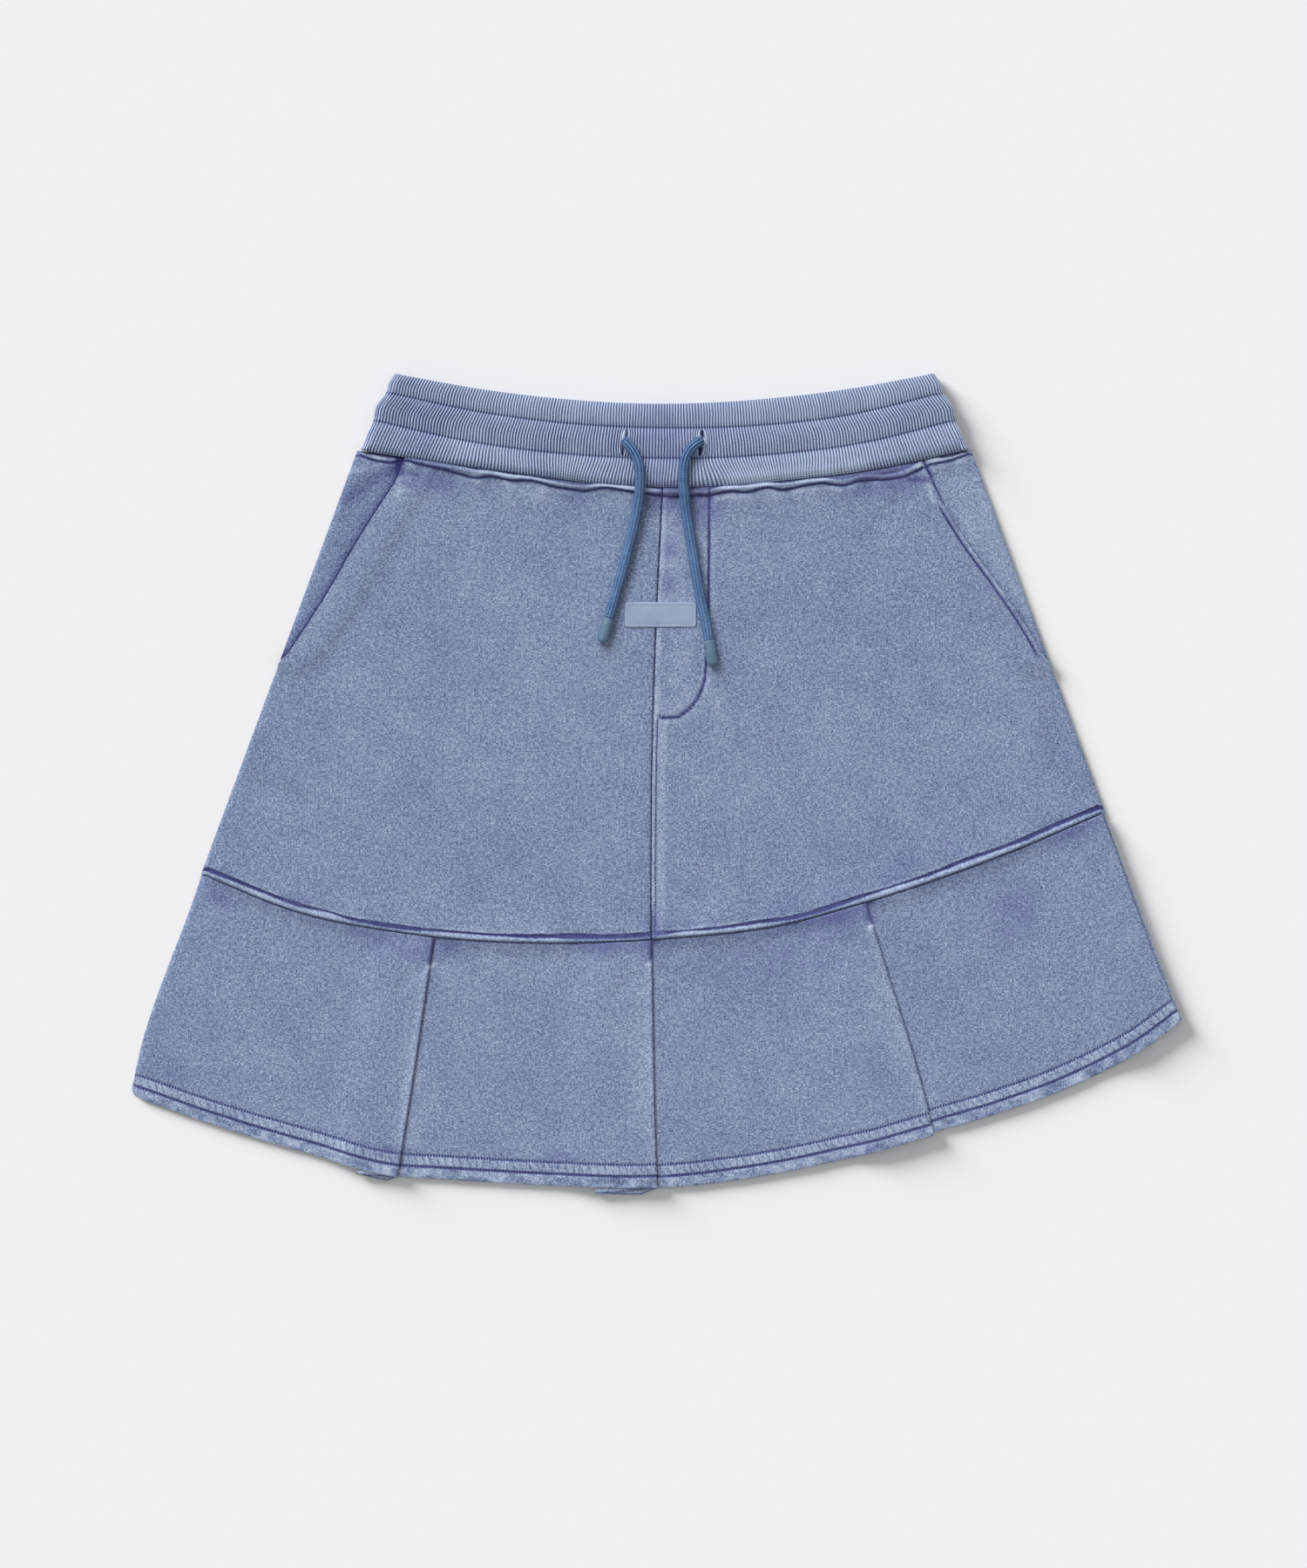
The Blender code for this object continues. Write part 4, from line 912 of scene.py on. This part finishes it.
def waistband(look):
    """The ribbed tube: ribs all round, puffed channels, a folded top and the cords' slits."""
    steps = 4
    front_s = np.linspace(-1, 1, RIBS * steps + 1)
    nose = np.linspace(0, math.pi, NOSE_RIBS * steps + 1)[1:-1]
    back_s = np.linspace(1, -1, RIBS * 2 + 1)
    count_f, count_n, count_b = len(front_s), len(nose), len(back_s)
    columns = count_f + 2 * count_n + count_b
    front = np.arange(columns) < count_f
    nose_ribs = (np.arange(count_n) + 1) / steps
    over_back = RIBS + NOSE_RIBS + np.arange(count_b) / 2
    turns = (RIBS + nose_ribs, over_back, 2 * RIBS + NOSE_RIBS + nose_ribs, [2 * (RIBS + NOSE_RIBS)])
    rib = np.concatenate([np.arange(count_f) / steps, *turns])

    def around(*parts):
        """Values all round the tube, from those of its front, first side, back and second side."""
        counts = (count_f, count_n, count_b, count_n)
        return np.concatenate([np.broadcast_to(values, (n,)) for values, n in zip(parts, counts)])

    out_x = around(0, np.sin(nose), 0, -np.sin(nose))
    out_z = around(1, np.cos(nose), -1, -np.cos(nose))
    wave = -np.cos(2 * math.pi * rib[:-1])
    channel = np.array([0, 0.3, 0.6, 1, 1.5, 2.2, 3.2, 4.4, 5.8])
    channel = np.concatenate([channel, [7.5], CHANNEL - channel[::-1]]) / CHANNEL
    places = np.concatenate([channel[2:-1], 1 + channel[:-1], 2 + channel[:-2], [2.955, 2.985, 3]])

    def ring(place):
        """Outer points of the tube at a place down the band, the slot's points inside, and the shade."""
        half = float(band_half(place))
        flat = half - BAND_NOSE
        puff = abs(math.sin(math.pi * place))
        rise = 1.5 * puff**0.55 - 0.8 - 1.4 * float(step(place, 2.75, 3))
        deep = 0.5 * (0.25 + 0.75 * puff**0.4) * (1 - 0.2 * smooth(place - 2))
        reach = flat + BAND_NOSE * np.sin(nose)
        x = AXIS + around(front_s * flat, reach, back_s * flat, -reach)
        station = (x - AXIS) / half
        first = min(int(place), len(band_curves) - 2)
        y = mix(band_curves[first](station), band_curves[first + 1](station), place - first)
        bend = BAND_NOSE + (BAND_NOSE + max(rise, 0) * (nose < math.pi / 2)) * np.cos(nose)
        z = around(BAND_HEIGHT + rise, bend, 0, BAND_NOSE - BAND_NOSE * np.cos(nose))
        size = around(deep * (1 + 0.25 * wander(front_s * 160, 9, 201)), deep * 0.8, 0.22, deep * 0.8)
        lift = size * (wave - np.where(out_z < -0.99, 1, 0))
        shade = np.zeros(columns)
        leaning = rib_lean(np.clip(x, RIB_LEAN[0][0], RIB_LEAN[-1][0]))
        x = x + front * leaning * smooth(place - 2) * bump(station, 0.97, 16)
        for eye_x, eye_y, eye_long, eye_half, lean in EYELETS:
            dx, dy = x - eye_x - lean * (y - eye_y), (y - eye_y) / eye_long
            width = eye_half * np.sqrt(np.clip(1 - dy * dy, 0, 1))
            off = np.abs(dx)
            sway = 1.2 * bump(dy, 1.5) * np.sign(dx) * bump(off - 4, 9) * smooth(off / 5)
            middle = front & (off < 0.24)
            x = x + front * (np.sign(dx) * width * bump(dx, 6) * ~middle - 0.5 * sway)
            z = z - middle * EYELET_DEPTH * (width > 0.25)
            lip = front & ~middle & (off < 1.7) & (width > 0.3)
            lift = lift + lip * 0.35
            # painted shade: the inside of each slit is darkened
            shade = shade - 2 * middle * (width > 0.25)
            shade = shade + lip * (0.9 + 0.5 * wander(y * 3 + dx, 1, 210))
        meander = 0.3 * clouds(x, y, 14, 202) + 0.12 * clouds(x, y, 6, 203)
        x = x + meander * (np.abs(out_z) > 0.99) * bump(station, 0.96, 12)
        inner = placed(np.clip(x, AXIS - flat, AXIS + flat), y, BAND_NOSE + out_z * BAND_SLOT / 2)
        return placed(x + lift * out_x, y, z + lift * out_z), inner, shade

    rows, marks, v = [], [], []

    def add(row, shade, down):
        rows.append(row)
        marks.append(np.broadcast_to(shade, (columns,)))
        v.append(down)

    top_place = float(places[0])
    outer, inner, _ = ring(top_place)
    reach = band_curves[0]((outer[:, 0] - AXIS) / float(band_half(0))) - outer[:, 1]
    for angle in np.linspace(math.radians(-65), math.radians(72), 7):
        point = (outer + inner) / 2 + (outer - inner) / 2 * math.sin(angle)
        add(point + placed(0, reach * math.cos(angle), 0), -0.02, -1.5 * (1 - math.sin(angle)))
    for place in places:
        outer, inner, shade = ring(float(place))
        nearest = abs(place - round(place)) * CHANNEL if 0.4 < place < 2.6 else 9
        end = step(place, 2.93, 2.99)
        shade = shade + np.interp(place, (0.8, 1.2, 1.8, 2.2), (0.15, -0.08, -0.08, 0.12))
        value = mix(shade - 0.12 * bump(nearest, 1.8), -0.9, 0.9 * bump(nearest, 0.42))
        # a little painted shade on the band's lowest rim
        add(outer, value * (1 - end) - 0.1 * end, place * CHANNEL)
    bottom_out, bottom_in, _ = ring(3)
    add(mix(bottom_out, bottom_in, 0.5) - (0, 0.1, 0), 0.1, 46)
    add(bottom_in, 0.1, 48)
    for place in (2, 1, top_place):
        add(ring(place)[1], -0.2, 48 + (3 - place) * CHANNEL)
    points = np.stack(rows)
    shade, purple = band_wash(points[..., 0], points[..., 1])
    index = np.arange(points.shape[0] * columns).reshape(points.shape[0], columns)
    faces, corner_places = quads_of(index, closed_rows=True, closed_columns=True)
    u, v = np.meshgrid(rib, [*v, 96])
    uv = np.stack([u, v], axis=-1)[corner_places[..., 0], corner_places[..., 1]].reshape(-1, 2)
    values = {"shade": np.clip(np.stack(marks) + shade, -1, 1), "purple": np.clip(purple, 0, 1)}
    return add_mesh("waistband_rib", points.reshape(-1, 3), faces, look, values, uv)


def band_wash(x, y):
    """Uneven wash of the waistband, darker and more purple between the cords, and paler on its lowest
    ribs right of the cords, which is painted light.
    """
    centre = bump(x - 4, 26)
    ends = bump(x + 140, 16) + bump(x - 132, 24) * bump(y - 178, 6)
    # painted light: the lowest ribs right of the cords are made paler
    lit = step(x, 34, 46) * step(x, 128, 114) * bump(y - waist(x) - 2, 5)
    uneven = 0.08 * clouds(x, y, 22, 221) + 0.05 * clouds(x, y, 7, 222)
    purple = 0.35 * centre + 0.2 * ends + 0.1 * clouds(x, y, 12, 223)
    return uneven - 0.1 * centre - 0.12 * ends + 0.7 * lit, purple


def label(look):
    """The bare patch, rounded at its corners, flat on the two front panels."""
    (middle_x, middle_y), (half_x, half_y), thick = LABEL
    ends = np.array([1, 0.996, 0.985, 0.965, 0.94])
    across = np.concatenate([-ends, np.linspace(-0.9, 0.9, 24), ends[::-1]])
    ends = np.array([1, 0.99, 0.96, 0.92, 0.86])
    down = np.concatenate([ends, np.linspace(0.78, -0.78, 10), -ends[::-1]])
    s, t = np.meshgrid(across, down)
    reach = half_x - rounded(half_y - np.abs(t) * half_y, 1.6)
    x, y = middle_x + s * reach, middle_y + t * half_y
    edge = np.minimum(reach - np.abs(x - middle_x), half_y - np.abs(y - middle_y))
    rest = LEVEL_0 + CLOTH + GAP
    top = rest + thick + 0.12 * (1 - s * s) * (1 - t**4)
    top = top - rounded(edge, 0.5) - 0.18 * bump(edge - 1.5, 0.35)
    shade = 0.1 * clouds(x, y, 9, 301) - 0.2 * bump(edge, 0.35) + 0.3 * bump(edge - 0.8, 0.5)
    shade = shade - 0.25 * bump(edge - 1.6, 0.4) - 0.16 * bump(x - 1.3, 0.9)
    marks = {"shade": shade, "purple": 0}
    return shell("label_patch", placed(x, y, top), placed(x, y, rest), marks, look, skip=2)


def tube(name, line, radii, sides, look, relief=None):
    """A round tube about a line; u counts round it and v runs along it in millimetres."""
    tangent = np.gradient(line, axis=0)
    tangent /= np.linalg.norm(tangent, axis=1)[:, None]
    sideways = np.cross(tangent, (0, 0, 1))
    sideways /= np.linalg.norm(sideways, axis=1)[:, None]
    upwards = np.cross(sideways, tangent)
    angles = np.linspace(0, 2 * math.pi, sides, endpoint=False)
    size = np.repeat(np.asarray(radii, float)[:, None], sides, axis=1)
    if relief:
        size = size + relief(angles / (2 * math.pi))
    out = sideways[:, None] * np.cos(angles)[:, None] + upwards[:, None] * np.sin(angles)[:, None]
    points = line[:, None] + out * size[..., None]
    index = np.arange(len(line) * sides).reshape(len(line), sides)
    faces, places = quads_of(index, closed_columns=True)
    uv = np.stack([places[..., 1] / sides, run_of(line)[places[..., 0]]], axis=-1)[:, ::-1].reshape(-1, 2)
    caps = [index[0].tolist(), index[-1][::-1].tolist()]
    uv = np.concatenate([uv, np.full((2 * sides, 2), 0.5)])
    return add_mesh(name, points.reshape(-1, 3), faces[:, ::-1].tolist() + caps, look, corner_uv=uv)


CORD_COLUMNS = 9
CORD_STITCH = 1.1
CORD_STEP = 0.55
CORD_SIDES = 54
TIP_SIDES = 28
STITCH_LIFT = 0.12
STITCH_SIDES = 5
# place along a stitch, width there
STITCH_RINGS = ((-0.5, 0.3), (-0.3, 0.9), (0.3, 0.9), (0.5, 0.3))


def cord_relief(around):
    """Ribs round a knitted cord, one of them on top."""
    off = np.abs((around * CORD_COLUMNS + 0.25) % 1 - 0.5) * 2
    return 0.05 - 0.4 * off**5


def stitch_mesh(name, lines, pitch, size, look):
    """Small sewn stitches along lines of points in space; size is (length, width, height)."""
    points, faces = [], []
    for line in lines:
        line = np.asarray(line, float)
        along = run_of(line)
        for k in range(int(along[-1] / pitch)):
            at = (k + 0.5) * pitch + 0.12 * math.sin(k * 12.9)
            middle, ahead = (np.array([np.interp(p, along, c) for c in line.T]) for p in (at, at + 0.4))
            direction = (ahead - middle) / max(np.linalg.norm(ahead - middle), 1e-6)
            sideways = np.cross(direction, (0, 0, 1))
            turn = 0.12 * math.sin(k * 7.7)
            direction = direction * math.cos(turn) + sideways * math.sin(turn)
            index = len(points) + np.arange(len(STITCH_RINGS) * STITCH_SIDES).reshape(-1, STITCH_SIDES)
            for place, wide in STITCH_RINGS:
                for a in np.linspace(0, 2 * math.pi, STITCH_SIDES, endpoint=False):
                    p = middle + direction * place * size[0] + sideways * math.cos(a) * wide * size[1] / 2
                    points.append(p + (0, 0, STITCH_LIFT + math.sin(a) * wide * size[2] / 2))
            faces += quads_of(index, closed_columns=True)[0].tolist()
            faces += [index[0, ::-1].tolist(), index[-1].tolist()]
    return add_mesh(name, points, faces, look)


def srgb(r, g, b):
    """A colour given in the screen's 0 to 255."""
    return (*(((c / 255 + 0.055) / 1.055) ** 2.4 for c in (r, g, b)), 1)


class Field:
    """A value that varies over a surface. Arithmetic on it adds nodes to the material."""

    def __init__(self, tree, socket):
        self.tree, self.socket = tree, socket

    def plug(self, value, socket):
        if isinstance(value, Field):
            self.tree.links.new(value.socket, socket)
        else:
            socket.default_value = value

    def math(self, operation, *others, clamp=False):
        node = self.tree.nodes.new("ShaderNodeMath")
        node.operation, node.use_clamp = operation, clamp
        for value, socket in zip((self, *others), node.inputs):
            self.plug(value, socket)
        return Field(self.tree, node.outputs[0])

    def __add__(self, other):
        return self.math("ADD", other)

    def __sub__(self, other):
        return self.math("SUBTRACT", other)

    def __mul__(self, other):
        return self.math("MULTIPLY", other)

    def power(self, exponent):
        return self.math("POWER", exponent)

    def wave(self, length=1):
        """A cosine that repeats at a length."""
        return (self * (2 * math.pi / length)).math("COSINE")

    def peak(self):
        """1 at the ends of each whole number and 0 at its middle."""
        return (self.math("FRACT") - 0.5).math("ABSOLUTE") * 2

    def ramp(self, start, finish):
        """0 at the start and 1 at the finish."""
        return self.math("MULTIPLY_ADD", 1 / (finish - start), -start / (finish - start), clamp=True)

    def stretched(self, x, y):
        node = self.tree.nodes.new("ShaderNodeVectorMath")
        node.operation = "MULTIPLY"
        self.plug(self, node.inputs[0])
        node.inputs[1].default_value = (x, y, 1)
        return Field(self.tree, node.outputs[0])

    def noise(self, scale, detail=2, rough=0.55):
        """Noise from about -0.5 to 0.5."""
        node = self.tree.nodes.new("ShaderNodeTexNoise")
        for name, value in (("Scale", scale), ("Detail", detail), ("Roughness", rough)):
            node.inputs[name].default_value = value
        self.plug(self, node.inputs["Vector"])
        return Field(self.tree, node.outputs["Fac"]) - 0.5


class Look:
    """A material being made: its shader, and the fields that its nodes give."""

    def __init__(self, name, roughness, sheen=0, specular=0.18):
        self.material = bpy.data.materials.new(name)
        self.material.use_nodes = True
        self.tree = self.material.node_tree
        self.inputs = self.tree.nodes["Principled BSDF"].inputs
        settings = {
            "Roughness": roughness, "Specular IOR Level": specular, "Sheen Weight": sheen,
            "Sheen Roughness": 0.45, "Sheen Tint": (0.75, 0.83, 1, 1),
        }
        for key, value in settings.items():
            self.inputs[key].default_value = value
        self.uv = self.field("ShaderNodeUVMap", "UV", uv_map="cloth")
        self.spot = self.field("ShaderNodeNewGeometry", "Position")

    def field(self, kind, output, **settings):
        node = self.tree.nodes.new(kind)
        for key, value in settings.items():
            setattr(node, key, value)
        return Field(self.tree, node.outputs[output])

    def mark(self, name):
        return self.field("ShaderNodeAttribute", "Fac", attribute_name=name)

    def uv_parts(self):
        node = self.tree.nodes.new("ShaderNodeSeparateXYZ")
        self.uv.plug(self.uv, node.inputs[0])
        return [Field(self.tree, node.outputs[i]) for i in (0, 1)]

    def blend(self, a, b, share):
        node = self.tree.nodes.new("ShaderNodeMix")
        node.data_type = "RGBA"
        for value, place in ((share, 0), (a, 6), (b, 7)):
            share.plug(value, node.inputs[place])
        return Field(self.tree, node.outputs[2])

    def washed(self, value, violet):
        """Colour of the washed cloth at a value from -1, navy, to 1, pale."""
        colour = self.blend(self.blend(BASE, PALE, value), NAVY, value * -1)
        return self.blend(colour, PURPLE, violet * 0.55)

    def done(self, colour, height=None, distance=0.0002):
        self.tree.links.new(colour.socket, self.inputs["Base Color"])
        if height:
            node = self.tree.nodes.new("ShaderNodeBump")
            node.inputs["Distance"].default_value = distance
            height.plug(height, node.inputs["Height"])
            self.tree.links.new(node.outputs["Normal"], self.inputs["Normal"])
        return self.material


NAVY = srgb(50, 55, 108)
BASE = srgb(127, 145, 177)
PALE = srgb(196, 210, 233)
PURPLE = srgb(112, 112, 168)
# size of a knitted loop of the fleece, in metres
LOOP = 0.0009


def fleece_look(name, hem=False):
    """Washed sweatshirt cloth, and where there is a hem its stitched rows and small folds."""
    look = Look(name, 0.95, sheen=0.12)
    uv = look.uv
    u, v = look.uv_parts()
    wale = (u + uv.noise(90) * 0.0014).wave(LOOP)
    course = (v + wale.math("ABSOLUTE") * (0.45 * LOOP)).wave(LOOP)
    fleck = uv.stretched(0.85, 1.1).noise(1010, 2, 0.6)
    cluster = uv.noise(420, 2, 0.6)
    shade = look.mark("shade")
    grain = wale * 0.09 + course * 0.05 + fleck * 3 + cluster * 1.25 + uv.noise(60, 3, 0.6) * 0.3
    value = shade + grain * (shade * shade * -0.75 + 1)
    if hem:
        up, along = look.mark("up") + uv.noise(70) * 0.5, look.mark("along")
        for place, half, broken in HEM_ROWS:
            row = (up - place).math("ABSOLUTE").ramp(half + 0.4, half - 0.1)
            row = row * (along.wave(1.65) * (broken / 2) + (1 - broken / 2))
            value = value + row * (value * -1 - 1.1)
        between = up.ramp(13, 12.2) * up.ramp(7.4, 8.2)
        tick = (along + up * 0.5 + uv.noise(110) * 7).wave(4.4).math("MAXIMUM", 0).power(1.5)
        value = value - tick * between * 0.42
    violet = look.mark("purple") + uv.noise(130, 3, 0.6) * 1.1
    height = wale * 0.22 + course * 0.12 + fleck * 1.3 + cluster * 1.3
    return look.done(look.washed(value, violet), height)


def rib_look():
    look = Look("ribbed_fleece", 0.95, sheen=0.1)
    spot = look.spot
    u, v = look.uv_parts()
    wave = (u + look.uv.stretched(0.35, 0.18).noise(1) * 0.3).wave()
    bead = (v * (1 / 1.15) + wave * 0.25).wave()
    fleck = spot.noise(1000, 2, 0.6)
    patches = spot.noise(150, 3, 0.6) * 0.35
    value = look.mark("shade") - wave * 0.92 + bead * 0.06 + fleck * 0.9 + patches + 0.12
    violet = look.mark("purple") + spot.noise(110) * 0.8
    return look.done(look.washed(value, violet), bead * 0.25 + fleck * 1.2)


def cord_look():
    look = Look("knitted_cord", 0.8, sheen=0.08)
    u, v = look.uv_parts()
    off = (u * CORD_COLUMNS + 0.25).peak()
    stitch = (v * (1 / CORD_STITCH) + off * 0.55).peak()
    fleck = look.spot.noise(1300, 2, 0.6)
    between = stitch.power(2)
    clear = v.ramp(30, 12) * 0.9 + 0.5
    dark = off.power(4) * clear + between * 0.45 + fleck * 0.9 + look.spot.noise(160) * 0.5 + 0.24
    colour = look.blend(srgb(118, 153, 200), srgb(26, 46, 84), dark)
    return look.done(colour, fleck - between * 0.6, 0.00015)


def tip_look():
    look = Look("dipped_tip", 0.42, specular=0.45)
    grain = look.spot.noise(500, 3, 0.6)
    share = grain * 0.9 + look.spot.noise(120) * 0.9 + 0.4
    return look.done(look.blend(srgb(76, 104, 132), srgb(118, 146, 168), share), grain, 0.00012)


def thread_look():
    look = Look("navy_thread", 0.75)
    share = look.spot.noise(700) * 2 + 0.4
    return look.done(look.blend(srgb(42, 46, 98), srgb(80, 86, 140), share))


def label_look():
    look = Look("soft_label", 0.5, specular=0.4)
    grain = look.uv.noise(1400)
    share = look.mark("shade") + grain * 0.7 + look.uv.noise(90) * 0.5 + 0.5
    look.inputs["Subsurface Weight"].default_value = 0.15
    look.inputs["Subsurface Radius"].default_value = (0.001, 0.001, 0.0012)
    return look.done(look.blend(srgb(132, 150, 179), srgb(168, 184, 208), share), grain, 0.00006)


def floor_look():
    look = Look("pale_floor", 0.9, specular=0)
    share = look.spot.noise(6) * 0.02 + 0.5
    return look.done(look.blend((0.90, 0.90, 0.90, 1), (0.92, 0.92, 0.92, 1), share))


# name, direction towards it, strength, angle in degrees, whether it lights the floor or the skirt
SUNS = (
    ("key", (-0.6, 0.75, 0.95), 1.79, 30, "skirt"),
    ("low_key", (-0.5, 1.5, 0.75), 1.17, 30, "skirt"),
    ("floor_key", (-0.76, 0.65, 0.32), 5.54, 24, "floor"),
)
SKY = 0.42
CAMERA_HEIGHT = 2.503
VIEW_ACROSS = -1.25
FLOOR_HALF = 6


def floor_and_camera():
    """A pale floor just under the skirt, and the camera straight above it."""
    scene = bpy.context.scene
    data = bpy.data.cameras.new("view")
    data.lens, data.sensor_width = 100, 36
    data.clip_start, data.clip_end = 0.05, 20
    camera = bpy.data.objects.new("view", data)
    camera.location = ((VIEW_ACROSS - CENTRE[0]) * MM, -CENTRE[1] * MM, CAMERA_HEIGHT)
    scene.collection.objects.link(camera)
    scene.camera = camera
    floor = bpy.data.meshes.new("floor")
    ends = ((-1, -1), (1, -1), (1, 1), (-1, 1))
    floor.from_pydata([(x * FLOOR_HALF, y * FLOOR_HALF, 0) for x, y in ends], [], [(0, 1, 2, 3)])
    floor.materials.append(floor_look())
    obj = bpy.data.objects.new("floor", floor)
    obj.location.z = -0.0002
    scene.collection.objects.link(obj)
    return obj


def light(floor, skirt):
    """An even pale sky, two soft suns on the skirt, and a lower one for its shadow on the floor."""
    scene = bpy.context.scene
    scene.view_settings.view_transform = "Standard"
    scene.world = bpy.data.worlds.new("studio")
    scene.world.use_nodes = True
    sky = scene.world.node_tree.nodes["Background"].inputs
    sky["Color"].default_value = (1, 1, 1, 1)
    sky["Strength"].default_value = SKY
    lit = {}
    for falls_on, objects in (("floor", [floor]), ("skirt", skirt)):
        lit[falls_on] = bpy.data.collections.new(f"lit_{falls_on}")
        for obj in objects:
            lit[falls_on].objects.link(obj)
    for name, towards, strength, angle, falls_on in SUNS:
        sun = bpy.data.lights.new(name, "SUN")
        sun.energy, sun.angle = strength, math.radians(angle)
        lamp = bpy.data.objects.new(name, sun)
        lamp.rotation_mode = "QUATERNION"
        lamp.rotation_quaternion = Vector(towards).to_track_quat("Z", "Y")
        lamp.location = Vector(towards)
        lamp.light_linking.receiver_collection = lit[falls_on]
        scene.collection.objects.link(lamp)


def drape(pieces, xy):
    """Points in millimetres on the upper side of pieces, over places across and up."""
    trees = []
    for piece in pieces:
        verts = [v.co for v in piece.data.vertices]
        trees.append(BVHTree.FromPolygons(verts, [p.vertices[:] for p in piece.data.polygons]))
    found = []
    for x, y in xy:
        start = Vector(((x - CENTRE[0]) * MM, (y - CENTRE[1]) * MM, 0.1))
        tops = [tree.ray_cast(start, Vector((0, 0, -1)))[0] for tree in trees]
        tops = [p.z for p in tops if p is not None]
        if tops:
            found.append((x, y, max(tops) / MM))
    return np.array(found)


def finish_piece(piece, node):
    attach(piece, "root")
    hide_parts(node)


floor = floor_and_camera()
fleece, thread, knit, dipped = fleece_look("washed_fleece"), thread_look(), cord_look(), tip_look()
pieces = {
    "waistband": waistband(rib_look()),
    "front_left": front_panel("front_left_cloth", -1, fleece),
    "front_right": front_panel("front_right_cloth", 1, fleece),
    "pocket_facing_left": pocket_facing("pocket_facing_left_cloth", -1, fleece),
    "pocket_facing_right": pocket_facing("pocket_facing_right_cloth", 1, fleece),
    "back_panel": slab("back_panel_cloth", body_side, body_top, body_bottom, 50, fleece),
    "flounce_back": slab("flounce_back_cloth", flounce_side, flounce_top, back_hem, 40, fleece, CORNERS),
    "label": label(label_look()),
}
pieces["flounce_front"], hem_rows, shown = flounce_front(fleece_look("hemmed_fleece", hem=True))
for node, piece in pieces.items():
    finish_piece(piece, node)

TIP_SHARES = np.array([0, 0.015, 0.05, 0.1, 0.2, 0.35, 0.5, 0.65, 0.8, 0.9, 0.95, 0.98, 1])
TIP_SIZES = np.array([0.86, 0.95, 1, 1, 0.97, 0.98, 0.96, 0.97, 0.95, 0.9, 0.8, 0.66, 0.4])
cords = []
for hand, route in (("left", CORD_LEFT), ("right", CORD_RIGHT)):
    route = np.array(route)
    inside = route[0] + (route[0] - route[1]) * (0.25, 0.25, 0) - (0, 0, 0.8)
    route = np.array([inside, *route])
    line = even_points(route, int(round(run_of(route)[-1] / CORD_STEP)) + 1)
    from_start = np.arange(len(line)) * CORD_STEP
    radii = (CORD_RADIUS - 0.05) * (1 - 0.55 * (1 - smooth(from_start / 1.8)))
    cord = tube(f"drawcord_{hand}_knit", line, radii, CORD_SIDES, knit, cord_relief)
    direction = (route[-1] - route[-2]) * (1, 1, 0)
    direction /= np.linalg.norm(direction)
    tip_line = route[-1] + direction * (GAP + TIP_SHARES[:, None] * TIP_LENGTH)
    tip = tube(f"cord_tip_{hand}_dipped", tip_line, TIP_SIZES * TIP_RADIUS, TIP_SIDES, dipped)
    cords += [cord, tip]
    finish_piece(cord, f"drawcord_{hand}")
    finish_piece(tip, f"cord_tip_{hand}")

cloths = [pieces[k] for k in ("front_left", "front_right", "pocket_facing_left", "pocket_facing_right")]
sewing = []
for (place, half, _), points in zip(HEM_ROWS, hem_rows):
    runs = [[]]
    for point, visible in zip(points, shown):
        if visible > 0.15:
            runs[-1].append(point)
        else:
            runs.append([])
    runs = [run for run in runs if len(run) > 3]
    sewing.append(stitch_mesh(f"hem_stitches_{int(place)}", runs, 2.1, (1.1, half * 0.9, 0.4), thread))
waist_spans = (np.arange(low, high, 1) for low, high in ((-169, -152), (-142, 155), (161, 179)))
front_spans = ((np.arange(160, 40, -1.2), 0.35), (np.arange(37, -84, -1.2), FRONT_ROW))
waist_rows = [[(x, fold_stitch(x)) for x in span] for span in waist_spans]
seam_row = [(x, body_bottom(x) + groove_up(x) * steep(seam, x)) for x in np.arange(-254, 252, 1.2)]
front_rows = [[(front_seam(y) + off, y) for y in span] for span, off in front_spans]
# name, places of the lines, pitch, length and width of a stitch
rows_sewn = (
    ("waist", waist_rows, 1.9, 1.3, 0.45),
    ("flounce_seam", [seam_row], 1.9, 1.3, 0.5),
    ("fly", [even_points(FLY_LINE, 150)], 1.7, 1.2, 0.42),
    ("centre_front", front_rows, 1.7, 0.9, 0.42),
)
for name, places, pitch, long, wide in rows_sewn:
    draped = [drape(cloths, line) for line in places]
    sewing.append(stitch_mesh(f"{name}_stitches", draped, pitch, (long, wide, 0.35), thread))
for piece in sewing:
    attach(piece, "root")

# the cut of each piece: width and length, and its area where it isn't a rectangle
SHEETS = {
    "waistband": (0.662, 0.0465, None),
    "front_left": (0.265, 0.279, 0.0572),
    "front_right": (0.261, 0.275, 0.0538),
    "pocket_facing_left": (0.085, 0.12, 0.0038),
    "pocket_facing_right": (0.088, 0.12, 0.0038),
    "back_panel": (0.517, 0.283, 0.1131),
    "flounce_front": (0.85, 0.215, 0.1077),
    "flounce_back": (0.6, 0.214, 0.0797),
}
for node, (wide, long, area) in SHEETS.items():
    held = "folded" if node == "flounce_front" else "laid"
light(floor, [*pieces.values(), *cords, *sewing])
